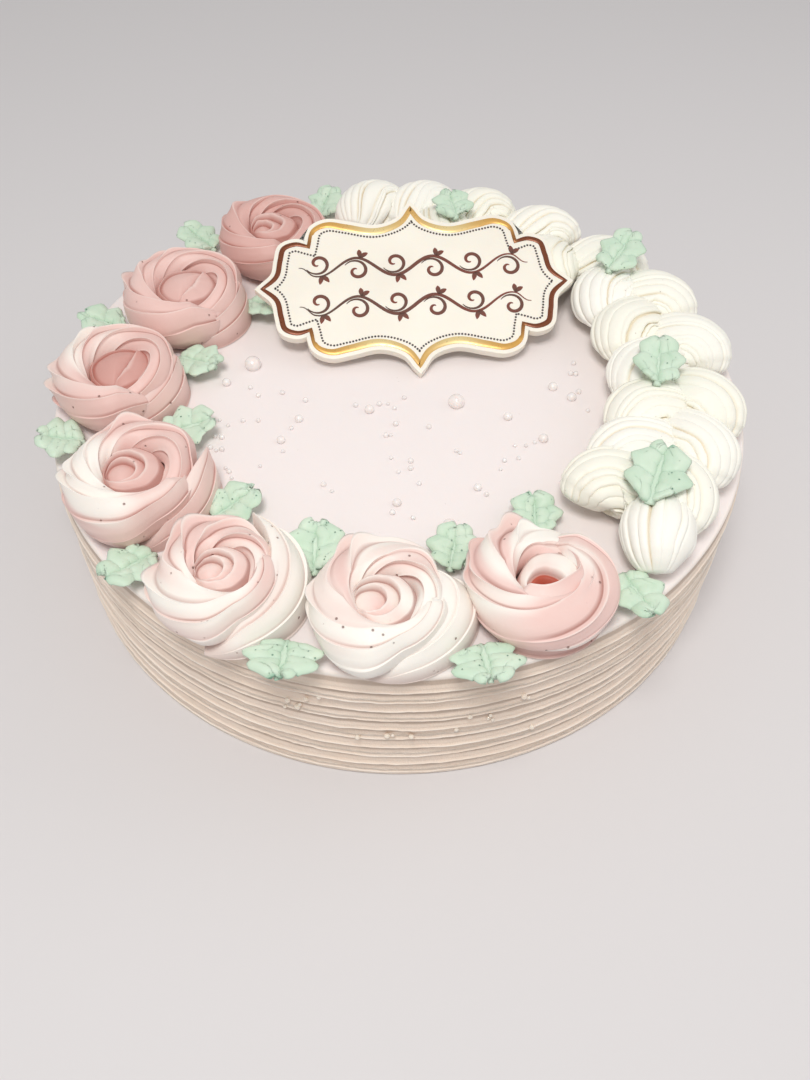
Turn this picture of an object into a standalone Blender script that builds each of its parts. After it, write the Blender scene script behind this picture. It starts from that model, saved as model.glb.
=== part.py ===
# Birthday cake: a round iced cake with a combed side, seven piped rosettes, a piped
# reverse-shell braid, leaves, sugar pearls and a leaning cartouche plaque.
# Metres, +Z up. The origin is the middle of the cake's flat base and the front is at -Y.
import math
import random

import bmesh
import bpy
from mathutils import Matrix, Vector
from mathutils.bvhtree import BVHTree

MM = 0.001
GAP = 0.3 * MM

# The iced cake
CAKE_RADIUS = 116 * MM
CAKE_HEIGHT = 56.2 * MM
RIM_RADIUS = 115 * MM
RIM_BEVEL = 1.2 * MM
BASE_INSET = 1.0 * MM
COMB_LINES = 10
COMB_DEPTH = 1.5 * MM
COMB_DEPTH_SHARE = (0.6, 1.0)
COMB_WANDER = (0, 0.5)
COMB_CREST_SHARE = (0.55, 0.8)
COMB_STEPS = 42
COMB_SEED = 4

# Sugar pearls: x, y and diameter of the ones placed by hand, then the scattered ones
LARGE_PEARLS = [(-51, 9, 5.6), (19, -8, 5.4), (16, -62, 4.2)]
MEDIUM_PEARLS = [(-59, 0, 3.0), (-33, -17, 2.8), (-38, -27, 2.8), (-10, -12, 3.2), (36, -14, 3.0),
                 (52, 1, 3.2), (58, -4, 3.2), (47, -24, 3.2), (0, -53, 2.8), (25, -46, 2.6)]
SMALL_PEARL = 2.4
SMALL_PEARLS = 13
PEARL_FIELD = (-62, 56, -56, 4)
PEARL_CLEARANCE = 6.0
PEARL_SINK = 0.25
PEARL_SEED = 11

# Rosettes: x, y, radius of the rope's path, angle at which the path starts, height
ROSES = [(-48.5, 72, 12.9, 0.4, 18.5), (-75.9, 33.5, 13.6, 0.2, 20.0), (-91.6, -8.5, 13.0, 0.5, 19.0),
         (-76.5, -54.5, 13.8, 5.6, 19.5), (-45.4, -89.4, 13.2, 5.9, 17.5), (0.5, -97.4, 14.3, 5.5, 16.5),
         (41.0, -89.0, 13.4, 2.6, 17.0)]
ROSE_TEETH = 6
ROSE_TURNS = 1.8
ROSE_GROWTH = 5.2
ROPE_HALF_WIDTH = 8.4
ROPE_SPREAD = 1.0
ROPE_SINK = 0.12
ROPE_HEAD_TURN = 0.5
ROPE_TAIL_TURN = 0.9
ROPE_END_SIZE = 0.1
ROPE_END_HEIGHT = 0.35
TOOTH_DEPTH = 0.24
TOOTH_FLANK = 0.85
GUIDE_STATIONS = 300
GUIDE_SIDES = 72
ROSE_SPOKES = 30
ROSE_RINGS = 12
ROSE_BUD_RINGS = 2
ROSE_INNER_ANGLE = -58
ROSE_OUTER_ANGLE = 118
ROSE_HEART_HEIGHT = 0.46
ROSE_FOOT_SHARE = 0.88
ROSE_HOLLOW_FLOOR = 3.0
ROSE_BUD_SHARE = 0.9

# Braid of reverse shells: angle of each lobe in degrees and its side, inner -1 or outer 1
BRAID_LOBES = [(-43.5, 0), (-34, 1), (-39, -1), (-22, 1), (-28, -1), (-10, 1), (-15, -1), (-1, -1),
               (7, 1), (14, -1), (22, 1), (27.5, -1), (37.5, 1), (46, -1), (55.5, 1), (62, -1),
               (71.5, 1), (78, -1), (85, 1), (97, 1)]
BRAID_FRONT_RADIUS = 90.8
BRAID_BACK_RADIUS = 85.8
BRAID_BACK_ANGLE = 60
BRAID_OFFSET = 9.8
BRAID_NOTCH_ANGLE = 27.5
BRAID_NOTCH = 3.0
BRAID_START_RADIUS = 104
SHELL_HALF_WIDTH = 12.6
SHELL_HALF_HEIGHT = 9.0
SHELL_TOOTH_DEPTH = 0.13
SHELL_STATIONS = 6
SHELL_SIDES = 10
SHELL_FLOOR_STEP = 0.02
SHELL_END_SIZE = 0.16
SHELL_SWELL_START = 0.06
SHELL_SWELL_SPAN = 0.86
SHELL_SWELL_POWER = 0.62
ROSE_CLEARANCE = 1.4
# Middle line of a shell: steps along the braid, away from its middle and up
STRAIGHT_SHELL = [(-10, 1, 4.5), (-5, 0, 8), (1, 0, 9), (8, 0, 9), (15, 0, 7)]
SIDE_SHELL = [(-11, 0, 4.5), (-7, 0.5, 8), (0, 0, 9), (7, -5, 9), (13, -13, 7.5)]

# Leaves: x, y, heading in degrees, length, width
FLAT_LEAVES = [(-31.5, 104.2, 75, 15, 13), (-78.8, 79, 140, 16, 13), (-104.7, 26.9, 160, 16, 14),
               (-102.5, -32.2, 185, 12, 15), (-73, -80, 225, 15, 14), (-28, -108, 265, 12, 19),
               (24.3, -106, 280, 12, 18), (67, -84, 290, 16, 13), (-54.2, 39.3, 330, 13, 12),
               (-69.4, 6.4, 335, 15, 15), (-68.2, -25.7, 20, 16, 16), (-49.3, -58.6, 40, 15, 14),
               (-22.6, -74.9, 90, 16, 16), (15.8, -78.5, 80, 13, 14), (41.8, -60.6, 90, 13, 14)]
BRAID_LEAVES = [(18, 78, 100, 12, 13), (77.5, 49.5, 60, 20, 14), (83, -9, 80, 18, 14),
                (75.5, -57, 70, 20, 17)]
LEAF_THICKNESS = 2.4
LEAF_TIP_RISE = 2.2
LEAF_WING_RISE = 1.6
LEAF_WIDTHS = [0.42, 0.92, 1.0, 0.72, 0.16]
LEAF_CROWN = [(-1.0, 0.45), (-0.5, 1.0), (0.0, 0.62), (0.5, 1.0), (1.0, 0.45)]
LEAF_RAGGED_WIDTH = 0.12
LEAF_RAGGED_LENGTH = 0.4
LEAF_SLIDE = (0.5, 0.1)
LEAF_MOST_STEPS = 40

# Plaque: half outline of one quarter, from the top point to the side point
PLAQUE_SHOULDER = [(0, 32), (4.6, 26), (13.3, 23.2), (23.2, 25.1), (30, 26.2), (35.3, 23.4), (37.1, 16.9)]
PLAQUE_SIDE = [(37.1, 16.9), (41.6, 18.2), (46.1, 16.3), (47.5, 11.1), (48.8, 4.9), (53.5, 0)]
PLAQUE_MARGIN = 1.8
PLAQUE_THICKNESS = 3.0
PLAQUE_STEEPEST = 35
PLAQUE_LEAN_STEP = 0.5
PLAQUE_TURN = 4.5
PLAQUE_FOOT = (6.9, 4.6)
PLAQUE_FOOT_LIFT = 0.12 * MM

DROP_HEIGHT = 40 * MM
PROBE_STEP = 1.5 * MM


def clear_scene():
    for old in list(bpy.data.objects):
        bpy.data.objects.remove(old)


def make_material(name, colour, roughness, metallic=0.0):
    material = bpy.data.materials.new(name)
    material.use_nodes = True
    shader = material.node_tree.nodes["Principled BSDF"]
    shader.inputs["Base Color"].default_value = (*colour, 1.0)
    shader.inputs["Roughness"].default_value = roughness
    shader.inputs["Metallic"].default_value = metallic
    return material


def new_object(name, shape, collection, material):
    """Turn a bmesh into an object of the given collection, with its faces pointing out."""
    bmesh.ops.recalc_face_normals(shape, faces=shape.faces)
    if shape.calc_volume(signed=True) < 0:
        bmesh.ops.reverse_faces(shape, faces=shape.faces)
    mesh = bpy.data.meshes.new(name)
    shape.to_mesh(mesh)
    shape.free()
    made = bpy.data.objects.new(name, mesh)
    collection.objects.link(made)
    mesh.materials.append(material)
    return made


def smooth_step(value):
    value = max(0.0, min(1.0, value))
    return value * value * (3 - 2 * value)


def spline(points, steps):
    """Catmull-Rom curve through the points, with the given steps between two of them."""
    points = [Vector(point) for point in points]
    padded = [2 * points[0] - points[1]] + points + [2 * points[-1] - points[-2]]
    curve = []
    for index in range(len(points) - 1):
        a, b, c, d = padded[index:index + 4]
        for step in range(steps):
            t = step / steps
            point = 2 * b + (c - a) * t + (2 * a - 5 * b + 4 * c - d) * t * t
            point += (3 * b - a - 3 * c + d) * t * t * t
            curve.append(point / 2)
    curve.append(points[-1])
    return curve


def loft(rings):
    """Skin a row of equal rings of points and close both ends."""
    shape = bmesh.new()
    rows = [[shape.verts.new(point) for point in ring] for ring in rings]
    count = len(rings[0])
    for near, far in zip(rows, rows[1:]):
        for index in range(count):
            after = (index + 1) % count
            shape.faces.new((near[index], near[after], far[after], far[index]))
    shape.faces.new(rows[0])
    shape.faces.new(rows[-1])
    bmesh.ops.triangulate(shape, faces=shape.faces)
    return shape


def surface_of(thing):
    """A ray-cast tree of an object's mesh in world space."""
    shape = bmesh.new()
    shape.from_mesh(thing.data)
    shape.transform(thing.matrix_world)
    tree = BVHTree.FromBMesh(shape)
    shape.free()
    return tree


def fuse(base, collection):
    """Join a collection of shapes to a base by one Boolean union, and drop sealed hollows."""
    union = base.modifiers.new("Fuse", "BOOLEAN")
    union.operation = "UNION"
    union.operand_type = "COLLECTION"
    union.collection = collection
    union.solver = "EXACT"
    bpy.context.view_layer.objects.active = base
    bpy.ops.object.modifier_apply(modifier=union.name)
    for spare in list(collection.objects):
        bpy.data.objects.remove(spare)
    keep_largest_shell(base)


def keep_largest_shell(thing):
    shape = bmesh.new()
    shape.from_mesh(thing.data)
    waiting = set(shape.faces)
    shells = []
    while waiting:
        front = [waiting.pop()]
        shell = list(front)
        while front:
            face = front.pop()
            for edge in face.edges:
                for other in edge.link_faces:
                    if other in waiting:
                        waiting.remove(other)
                        front.append(other)
                        shell.append(other)
        shells.append(shell)
    shells.sort(key=len)
    for shell in shells[:-1]:
        bmesh.ops.delete(shape, geom=shell, context="FACES")
    bmesh.ops.triangulate(shape, faces=shape.faces)
    shape.to_mesh(thing.data)
    shape.free()


def comb_profile():
    """Half section of the cake: flat top, bevelled rim, combed side, flat base."""
    draw = random.Random(COMB_SEED)
    points = [(0, CAKE_HEIGHT), (RIM_RADIUS - RIM_BEVEL, CAKE_HEIGHT), (RIM_RADIUS, CAKE_HEIGHT - RIM_BEVEL)]
    pitch = (CAKE_HEIGHT - 3 * RIM_BEVEL) / COMB_LINES
    for line in range(COMB_LINES):
        top = CAKE_HEIGHT - 2 * RIM_BEVEL - line * pitch
        depth = COMB_DEPTH * draw.uniform(*COMB_DEPTH_SHARE)
        crest = CAKE_RADIUS - draw.uniform(*COMB_WANDER) * MM
        points.append((crest - depth, top))
        points.append((crest, top - pitch * draw.uniform(*COMB_CREST_SHARE)))
    points.append((CAKE_RADIUS - BASE_INSET, 0))
    points.append((0, 0))
    return points


def build_cake(collection, spares, icing):
    """Turn the cake's profile with a Screw modifier, then fuse the sugar pearls to its top."""
    shape = bmesh.new()
    corners = [shape.verts.new((radius, 0, height)) for radius, height in comb_profile()]
    for first, second in zip(corners, corners[1:]):
        shape.edges.new((first, second))
    mesh = bpy.data.meshes.new("cake")
    shape.to_mesh(mesh)
    shape.free()
    cake = bpy.data.objects.new("cake", mesh)
    collection.objects.link(cake)
    turn = cake.modifiers.new("Turn", "SCREW")
    turn.steps = COMB_STEPS
    turn.render_steps = COMB_STEPS
    turn.use_merge_vertices = True
    turn.merge_threshold = 0.01 * MM
    bpy.context.view_layer.objects.active = cake
    bpy.ops.object.modifier_apply(modifier=turn.name)
    mesh.materials.append(icing)
    merge_flat_faces(cake)
    for x, y, diameter, detail in pearl_places():
        radius = diameter / 2 * MM
        pearl = bmesh.new()
        centre = Matrix.Translation((x * MM, y * MM, CAKE_HEIGHT + radius * (1 - 2 * PEARL_SINK)))
        bmesh.ops.create_icosphere(pearl, subdivisions=detail, radius=radius, matrix=centre)
        new_object("pearl", pearl, spares, icing)
    fuse(cake, spares)
    return cake


def merge_flat_faces(thing):
    shape = bmesh.new()
    shape.from_mesh(thing.data)
    bmesh.ops.dissolve_limit(shape, angle_limit=math.radians(0.5), verts=shape.verts, edges=shape.edges)
    shape.to_mesh(thing.data)
    shape.free()


def pearl_places():
    places = [(x, y, size, 2) for x, y, size in LARGE_PEARLS]
    places += [(x, y, size, 1) for x, y, size in MEDIUM_PEARLS]
    draw = random.Random(PEARL_SEED)
    wanted = len(places) + SMALL_PEARLS
    while len(places) < wanted:
        x = draw.uniform(PEARL_FIELD[0], PEARL_FIELD[1])
        y = draw.uniform(PEARL_FIELD[2], PEARL_FIELD[3])
        if all(math.hypot(x - other[0], y - other[1]) > PEARL_CLEARANCE for other in places):
            places.append((x, y, SMALL_PEARL, 1))
    return places


def rounded_end(turned, length):
    """Share of the full section left near an end of the rope, which closes like a dome."""
    share = min(1.0, turned / length)
    return ROPE_END_SIZE + (1 - ROPE_END_SIZE) * math.sqrt(1 - (1 - share) ** 2)


def rope_point(along, around, path_radius, start_angle, full_height):
    """A point of the rosette's rope, piped through a star tip that doesn't turn.

    The teeth keep their direction while the path goes round, so each ridge starts at the
    outer edge of the rope, crosses its top and ends at the inner edge.
    """
    whole = ROSE_TURNS * 2 * math.pi
    turned = whole * along
    reach = path_radius * smooth_step(turned / ROSE_GROWTH) + ROPE_SPREAD * along
    taper = rounded_end(turned, ROPE_HEAD_TURN) * rounded_end(whole - turned, ROPE_TAIL_TURN)
    height = full_height * (1 - ROPE_SINK * along)
    place = ROSE_TEETH * (around + turned) / (2 * math.pi) % 1.0
    if place < TOOTH_FLANK:
        swell = 1 - TOOTH_DEPTH * place / TOOTH_FLANK
    else:
        swell = 1 - TOOTH_DEPTH * (1 - smooth_step((place - TOOTH_FLANK) / (1 - TOOTH_FLANK)))
    out = reach + ROPE_HALF_WIDTH * taper * swell * math.sin(around)
    middle = height / 2 * (ROPE_END_HEIGHT + (1 - ROPE_END_HEIGHT) * taper)
    lift = middle + height / 2 * taper * swell * math.cos(around)
    angle = start_angle + turned
    return Vector((out * math.cos(angle), out * math.sin(angle), lift)) * MM


def rope_surface(*rope):
    """Ray-cast tree of a finely drawn rope, which the faceted rosette is shrunk onto."""
    rings = []
    for station in range(GUIDE_STATIONS + 1):
        along = station / GUIDE_STATIONS
        ring = [rope_point(along, 2 * math.pi * side / GUIDE_SIDES, *rope) for side in range(GUIDE_SIDES)]
        rings.append(ring)
    shape = loft(rings)
    tree = BVHTree.FromBMesh(shape)
    shape.free()
    return tree


def rose_point(rope, ring, spoke, path_radius, height):
    """Where one crossing of a ring and a meridian meets the rope, counted from the top pole.

    The first rings drop onto the bud; the others close in on the middle of the outer wrap.
    """
    middle = (path_radius + ROPE_SPREAD) * MM
    if ring <= ROSE_BUD_RINGS:
        radius = (middle - ROPE_HALF_WIDTH * MM) * ROSE_BUD_SHARE * ring / ROSE_BUD_RINGS
        azimuth = spoke - math.radians(ROSE_INNER_ANGLE)
        out = Vector((math.cos(azimuth), math.sin(azimuth), 0)) * radius
        start = out + Vector((0, 0, 2 * height * MM))
        fallback = out + Vector((0, 0, ROSE_HOLLOW_FLOOR * MM))
        return rope.ray_cast(start, Vector((0, 0, -1)))[0] or fallback
    share = (ring - ROSE_BUD_RINGS - 1) / (ROSE_RINGS - ROSE_BUD_RINGS - 3)
    span = ROSE_OUTER_ANGLE - ROSE_INNER_ANGLE
    around = math.radians(ROSE_INNER_ANGLE + span * share)
    azimuth = spoke - around
    out = Vector((math.cos(azimuth), math.sin(azimuth), 0))
    ray = out * math.sin(around) + Vector((0, 0, math.cos(around)))
    heart = out * middle + Vector((0, 0, height * MM * ROSE_HEART_HEIGHT))
    return rope.ray_cast(heart + ray * 2 * height * MM, -ray)[0] or heart


def build_rose(name, place, others, collection, material):
    """Shrink a sphere onto the spiral rope, its meridians twisted to run along the ridges."""
    x, y, path_radius, start_angle, height = place
    rope = rope_surface(path_radius, start_angle, height)
    shape = bmesh.new()
    bmesh.ops.create_uvsphere(shape, u_segments=ROSE_SPOKES, v_segments=ROSE_RINGS, radius=1.0)
    for vertex in shape.verts:
        ring = round(math.acos(max(-1.0, min(1.0, vertex.co.z))) / math.pi * ROSE_RINGS)
        spoke = math.atan2(vertex.co.y, vertex.co.x) + start_angle
        point = rose_point(rope, min(ring, ROSE_RINGS - 2), spoke, path_radius, height)
        if ring == ROSE_RINGS - 1:
            point = Vector((point.x * ROSE_FOOT_SHARE, point.y * ROSE_FOOT_SHARE, 0))
        if ring == ROSE_RINGS:
            point = Vector((0, 0, 0))
        vertex.co = point
    for other in others:
        trim_to_neighbour(shape, Vector((x, y)) * MM, Vector((other[0], other[1])) * MM)
    rose = new_object(name, shape, collection, material)
    rose.data.transform(Matrix.Translation((x * MM, y * MM, CAKE_HEIGHT + GAP)))
    return rose


def trim_to_neighbour(shape, centre, neighbour):
    """Draw points back along their own radius, so that half the gap stays to the midway plane."""
    offset = neighbour - centre
    limit = offset.length / 2 - GAP / 2
    direction = offset.normalized()
    for vertex in shape.verts:
        reach = vertex.co.xy.dot(direction)
        if reach > limit:
            vertex.co.x *= limit / reach
            vertex.co.y *= limit / reach


def shell_route(angle, side):
    """Middle line of one shell: it starts low beside the braid and dives to its middle."""
    turn = math.radians(angle)
    radial = Vector((math.cos(turn), math.sin(turn), 0))
    along = Vector((-radial.y, radial.x, 0))
    if side == 0:
        reach = BRAID_START_RADIUS
        steps = STRAIGHT_SHELL
    else:
        inward = (BRAID_FRONT_RADIUS - BRAID_BACK_RADIUS) * smooth_step(angle / BRAID_BACK_ANGLE)
        reach = BRAID_FRONT_RADIUS - inward + side * BRAID_OFFSET
        steps = SIDE_SHELL
    if angle == BRAID_NOTCH_ANGLE:
        reach += BRAID_NOTCH
    outward = radial * (-1 if side < 0 else 1)
    start = radial * reach
    route = [start + along * step + outward * out + Vector((0, 0, lift)) for step, out, lift in steps]
    return spline(route, 8)


def shell_rings(lobe, floor):
    """Fluted rings along a shell's middle line, small at both ends, in millimetres."""
    path = shell_route(*lobe)
    rings = []
    for station in range(SHELL_STATIONS):
        share = station / (SHELL_STATIONS - 1)
        spot = share * (len(path) - 1)
        low = min(int(spot), len(path) - 2)
        point = path[low].lerp(path[low + 1], spot - low)
        heading = (path[low + 1] - path[low]).normalized()
        across = heading.cross(Vector((0, 0, 1))).normalized()
        upward = across.cross(heading)
        arch = math.sin(math.pi * (SHELL_SWELL_START + SHELL_SWELL_SPAN * share)) ** SHELL_SWELL_POWER
        swell = SHELL_END_SIZE + (1 - SHELL_END_SIZE) * arch
        ring = []
        for index in range(SHELL_SIDES):
            around = 2 * math.pi * index / SHELL_SIDES
            size = swell * (1 - SHELL_TOOTH_DEPTH * (index % 2))
            corner = point + across * SHELL_HALF_WIDTH * size * math.cos(around)
            corner += upward * SHELL_HALF_HEIGHT * size * math.sin(around)
            corner.z = max(corner.z, floor)
            ring.append(clear_of_roses(corner) * MM)
        rings.append(ring)
    return rings


def clear_of_roses(point):
    """Keep a point of the braid off the rosettes beside it."""
    for x, y, path_radius, start, height in ROSES:
        keep = path_radius + ROPE_HALF_WIDTH + ROSE_CLEARANCE
        offset = point.xy - Vector((x, y))
        if offset.length < keep:
            point.xy = Vector((x, y)) + offset.normalized() * keep
    return point


def build_braid(collection, spares, material):
    first = None
    lift = Matrix.Translation((0, 0, CAKE_HEIGHT + GAP))
    for index, lobe in enumerate(BRAID_LOBES):
        shape = loft(shell_rings(lobe, SHELL_FLOOR_STEP * index))
        shape.transform(lift)
        if first is None:
            first = new_object("braid", shape, collection, material)
        else:
            new_object(f"shell_{index}", shape, spares, material)
    fuse(first, spares)
    return first


def leaf_shape(length, width, seed):
    """A piped leaf: two raised halves beside a crease, ragged edges and a lifted tip."""
    draw = random.Random(seed)
    rings = []
    for station, share_of_width in enumerate(LEAF_WIDTHS):
        share = station / (len(LEAF_WIDTHS) - 1)
        upper = []
        lower = []
        for across, height in LEAF_CROWN:
            half = width / 2 * share_of_width * (1 + LEAF_RAGGED_WIDTH * draw.uniform(-1, 1) * abs(across))
            along = (share - 0.5) * length + LEAF_RAGGED_LENGTH * draw.uniform(-1, 1) * abs(across)
            rise = LEAF_TIP_RISE * share ** 2 + LEAF_WING_RISE * across ** 2
            point = Vector((along, half * across, rise))
            lower.append(point * MM)
            upper.append((point + Vector((0, 0, LEAF_THICKNESS * height))) * MM)
        rings.append(upper + lower[::-1])
    return loft(rings)


def nearest_gap(shape, trees):
    """Least distance from the shape's vertices and edge middles to the neighbours' surfaces."""
    points = [vertex.co for vertex in shape.verts]
    points += [(edge.verts[0].co + edge.verts[1].co) / 2 for edge in shape.edges]
    least = math.inf
    for tree in trees:
        for point in points:
            distance = tree.find_nearest(point)[3]
            least = min(least, distance)
    return least


def touches(shape, trees):
    own = BVHTree.FromBMesh(shape)
    if any(own.overlap(tree) for tree in trees):
        return True
    return nearest_gap(shape, trees) < GAP


def build_leaf(name, leaf, seed, trees, collection, material):
    """Lay a leaf on the icing and slide it out of the notch until it is clear of its neighbours."""
    x, y, heading, length, width = leaf
    shape = leaf_shape(length, width, seed)
    angle = math.radians(heading)
    turn = Matrix.Rotation(angle, 4, "Z")
    shape.transform(Matrix.Translation((x * MM, y * MM, CAKE_HEIGHT + GAP)) @ turn)
    out, up = LEAF_SLIDE
    step = Vector((out * math.cos(angle), out * math.sin(angle), up)) * MM
    tries = 0
    while touches(shape, trees) and tries < LEAF_MOST_STEPS:
        bmesh.ops.translate(shape, verts=shape.verts, vec=step)
        tries += 1
    return new_object(name, shape, collection, material)


def rest_on(shape, trees):
    """Lower a shape from above until the gap is left between it and what carries it."""
    drop = math.inf
    own = BVHTree.FromBMesh(shape)
    down = Vector((0, 0, -1))
    points = [vertex.co for vertex in shape.verts]
    points += [(edge.verts[0].co + edge.verts[1].co) / 2 for edge in shape.edges]
    points += [face.calc_center_median() for face in shape.faces]
    for tree in trees:
        for point in points:
            distance = tree.ray_cast(point, down)[3]
            if distance is not None:
                drop = min(drop, distance)
    low = min(point.z for point in points)
    for tree in trees:
        for start in grid_under(points):
            distance = tree.ray_cast(Vector((*start, low)), down)[3]
            if distance is None:
                continue
            surface = low - distance
            above = own.ray_cast(Vector((*start, surface)), -down)[3]
            if above is not None:
                drop = min(drop, above)
    bmesh.ops.translate(shape, verts=shape.verts, vec=(0, 0, -(drop - GAP)))


def grid_under(points):
    low_x = min(point.x for point in points)
    low_y = min(point.y for point in points)
    wide = int((max(point.x for point in points) - low_x) / PROBE_STEP) + 1
    deep = int((max(point.y for point in points) - low_y) / PROBE_STEP) + 1
    return [(low_x + PROBE_STEP * column, low_y + PROBE_STEP * row)
            for column in range(wide) for row in range(deep)]


def build_braid_leaf(name, leaf, seed, trees, collection, material):
    x, y, heading, length, width = leaf
    shape = leaf_shape(length, width, seed)
    turn = Matrix.Rotation(math.radians(heading), 4, "Z")
    shape.transform(Matrix.Translation((x * MM, y * MM, CAKE_HEIGHT + DROP_HEIGHT)) @ turn)
    rest_on(shape, trees)
    return new_object(name, shape, collection, material)


def cartouche(margin):
    """Closed outline from one quarter, mirrored twice and pushed out by the margin."""
    quarter = spline([(px, py, 0) for px, py in PLAQUE_SHOULDER], 2)[:-1]
    quarter += spline([(px, py, 0) for px, py in PLAQUE_SIDE], 2)
    half = quarter + [Vector((point.x, -point.y, 0)) for point in reversed(quarter[:-1])]
    outline = half + [Vector((-point.x, point.y, 0)) for point in reversed(half[1:-1])]
    pushed = []
    count = len(outline)
    for index, point in enumerate(outline):
        before = (point - outline[index - 1]).normalized()
        after = (outline[(index + 1) % count] - point).normalized()
        tangent = (before + after).normalized()
        normal = Vector((-tangent.y, tangent.x, 0))
        stretch = min(1.5, 1 / max(0.4, normal.dot(Vector((-before.y, before.x, 0)))))
        pushed.append(point + normal * margin * stretch)
    return pushed


def build_plaque(trees, collection, material):
    """Stand the plaque on its foot and lean it back until the gap is left to what carries it."""
    outline = cartouche(PLAQUE_MARGIN)
    foot = min(point.y for point in outline)
    flat = loft([[point + Vector((0, -foot, 0)) for point in outline],
                 [point + Vector((0, -foot, PLAQUE_THICKNESS)) for point in outline]])
    flat.transform(Matrix.Scale(MM, 4))
    turn = Matrix.Rotation(math.radians(PLAQUE_TURN), 4, "Z")
    x, y = PLAQUE_FOOT
    place = Matrix.Translation((x * MM, y * MM, CAKE_HEIGHT + GAP + PLAQUE_FOOT_LIFT))
    tilt = PLAQUE_STEEPEST
    plaque = None
    while plaque is None or not touches(plaque, trees):
        last = plaque
        plaque = flat.copy()
        plaque.transform(place @ turn @ Matrix.Rotation(math.radians(tilt), 4, "X"))
        tilt -= PLAQUE_LEAN_STEP
    print("plaque leans at", tilt + 2 * PLAQUE_LEAN_STEP, "degrees")
    return new_object("plaque", last, collection, material)


def main():
    clear_scene()
    scene = bpy.context.scene
    parts = bpy.data.collections.new("birthday_cake")
    spares = bpy.data.collections.new("fused_shapes")
    scene.collection.children.link(parts)
    scene.collection.children.link(spares)

    icing = make_material("icing", (0.90, 0.80, 0.78), 0.45)
    cream = make_material("ivory_cream", (0.95, 0.92, 0.85), 0.5)
    mint = make_material("mint_cream", (0.56, 0.80, 0.64), 0.55)
    sugar = make_material("plaque_sugar", (0.94, 0.87, 0.76), 0.45)
    pinks = [make_material(f"pink_cream_{index + 1}", (0.82 + 0.015 * index, 0.46 + 0.05 * index,
                                                      0.45 + 0.05 * index), 0.5)
             for index in range(len(ROSES))]

    cake = build_cake(parts, spares, icing)
    roses = []
    for index, place in enumerate(ROSES):
        others = [other for other in ROSES if other is not place]
        roses.append(build_rose(f"rose_{index + 1}", place, others, parts, pinks[index]))
    braid = build_braid(parts, spares, cream)
    bpy.context.view_layer.update()

    carriers = [surface_of(thing) for thing in [cake, braid] + roses]
    flat_leaves = []
    for index, leaf in enumerate(FLAT_LEAVES):
        name = f"leaf_{index + 1}"
        flat_leaves.append(build_leaf(name, leaf, index, carriers, parts, mint))
    braid_leaves = []
    for index, leaf in enumerate(BRAID_LEAVES):
        number = len(FLAT_LEAVES) + index + 1
        braid_leaves.append(build_braid_leaf(f"leaf_{number}", leaf, number, carriers, parts, mint))
    carriers += [surface_of(thing) for thing in flat_leaves + braid_leaves]
    build_plaque(carriers, parts, sugar)

    bpy.data.collections.remove(spares)
    for thing in parts.objects:
        thing.data.shade_smooth()
        thing.data.set_sharp_from_angle(angle=math.radians(38))
        print(thing.name, len(thing.data.polygons), "faces")


main()
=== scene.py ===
# Birthday cake: combed icing, piped roses, a shell braid, mint leaves, sugar pearls and a plaque.
# Lengths in the settings are millimetres unless a note says otherwise.
import math
from math import cos, exp, pi, radians, sin
import random
import bpy
from mathutils import Matrix, Vector, noise


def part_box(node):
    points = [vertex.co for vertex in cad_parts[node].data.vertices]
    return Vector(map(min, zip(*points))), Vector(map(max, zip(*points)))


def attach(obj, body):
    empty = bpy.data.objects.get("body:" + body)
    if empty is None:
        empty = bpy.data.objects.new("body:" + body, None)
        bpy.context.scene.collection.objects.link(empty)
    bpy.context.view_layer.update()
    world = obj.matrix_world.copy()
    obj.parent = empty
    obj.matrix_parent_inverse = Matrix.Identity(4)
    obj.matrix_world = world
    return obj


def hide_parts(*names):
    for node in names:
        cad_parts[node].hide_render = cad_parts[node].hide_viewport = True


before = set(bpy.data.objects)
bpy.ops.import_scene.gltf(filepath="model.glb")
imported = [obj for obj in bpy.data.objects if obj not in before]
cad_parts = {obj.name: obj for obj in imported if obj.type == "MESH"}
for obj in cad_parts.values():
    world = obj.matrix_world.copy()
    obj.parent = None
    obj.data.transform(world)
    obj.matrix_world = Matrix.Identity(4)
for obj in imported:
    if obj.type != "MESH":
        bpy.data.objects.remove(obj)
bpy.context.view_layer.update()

mm = 0.001
weldGap = 2e-6  # metres
iceTop = 56.2  # height of the flat icing
bedTop = iceTop + 0.3  # where the pieces on the icing start


def deselectAll():
    bpy.ops.object.select_all(action="DESELECT")


def selectOnly(piece):
    deselectAll()
    bpy.context.view_layer.objects.active = piece
    piece.select_set(True)


def addObject(operator, name, **values):
    deselectAll()
    operator(**values)
    piece = bpy.context.object
    piece.name = name
    return piece


def editAll(piece):
    # into edit mode with the whole mesh selected
    selectOnly(piece)
    bpy.ops.object.mode_set(mode="EDIT")
    bpy.ops.mesh.select_all(action="SELECT")


def endEdit():
    # out of edit mode with all faces turned outwards
    bpy.ops.mesh.select_all(action="SELECT")
    bpy.ops.mesh.normals_make_consistent(inside=False)
    bpy.ops.object.mode_set(mode="OBJECT")


def closeMesh(piece):
    # weld the seam and the poles
    editAll(piece)
    bpy.ops.mesh.remove_doubles(threshold=weldGap)
    endEdit()
    bpy.ops.object.shade_smooth()
    return piece


def joinPieces(pieces, name):
    deselectAll()
    for piece in pieces:
        piece.select_set(True)
    bpy.context.view_layer.objects.active = pieces[0]
    bpy.ops.object.join()
    pieces[0].name = name
    return pieces[0]


def applyPlace(piece):
    selectOnly(piece)
    bpy.ops.object.transform_apply(location=True, rotation=True, scale=True)
    return piece


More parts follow.
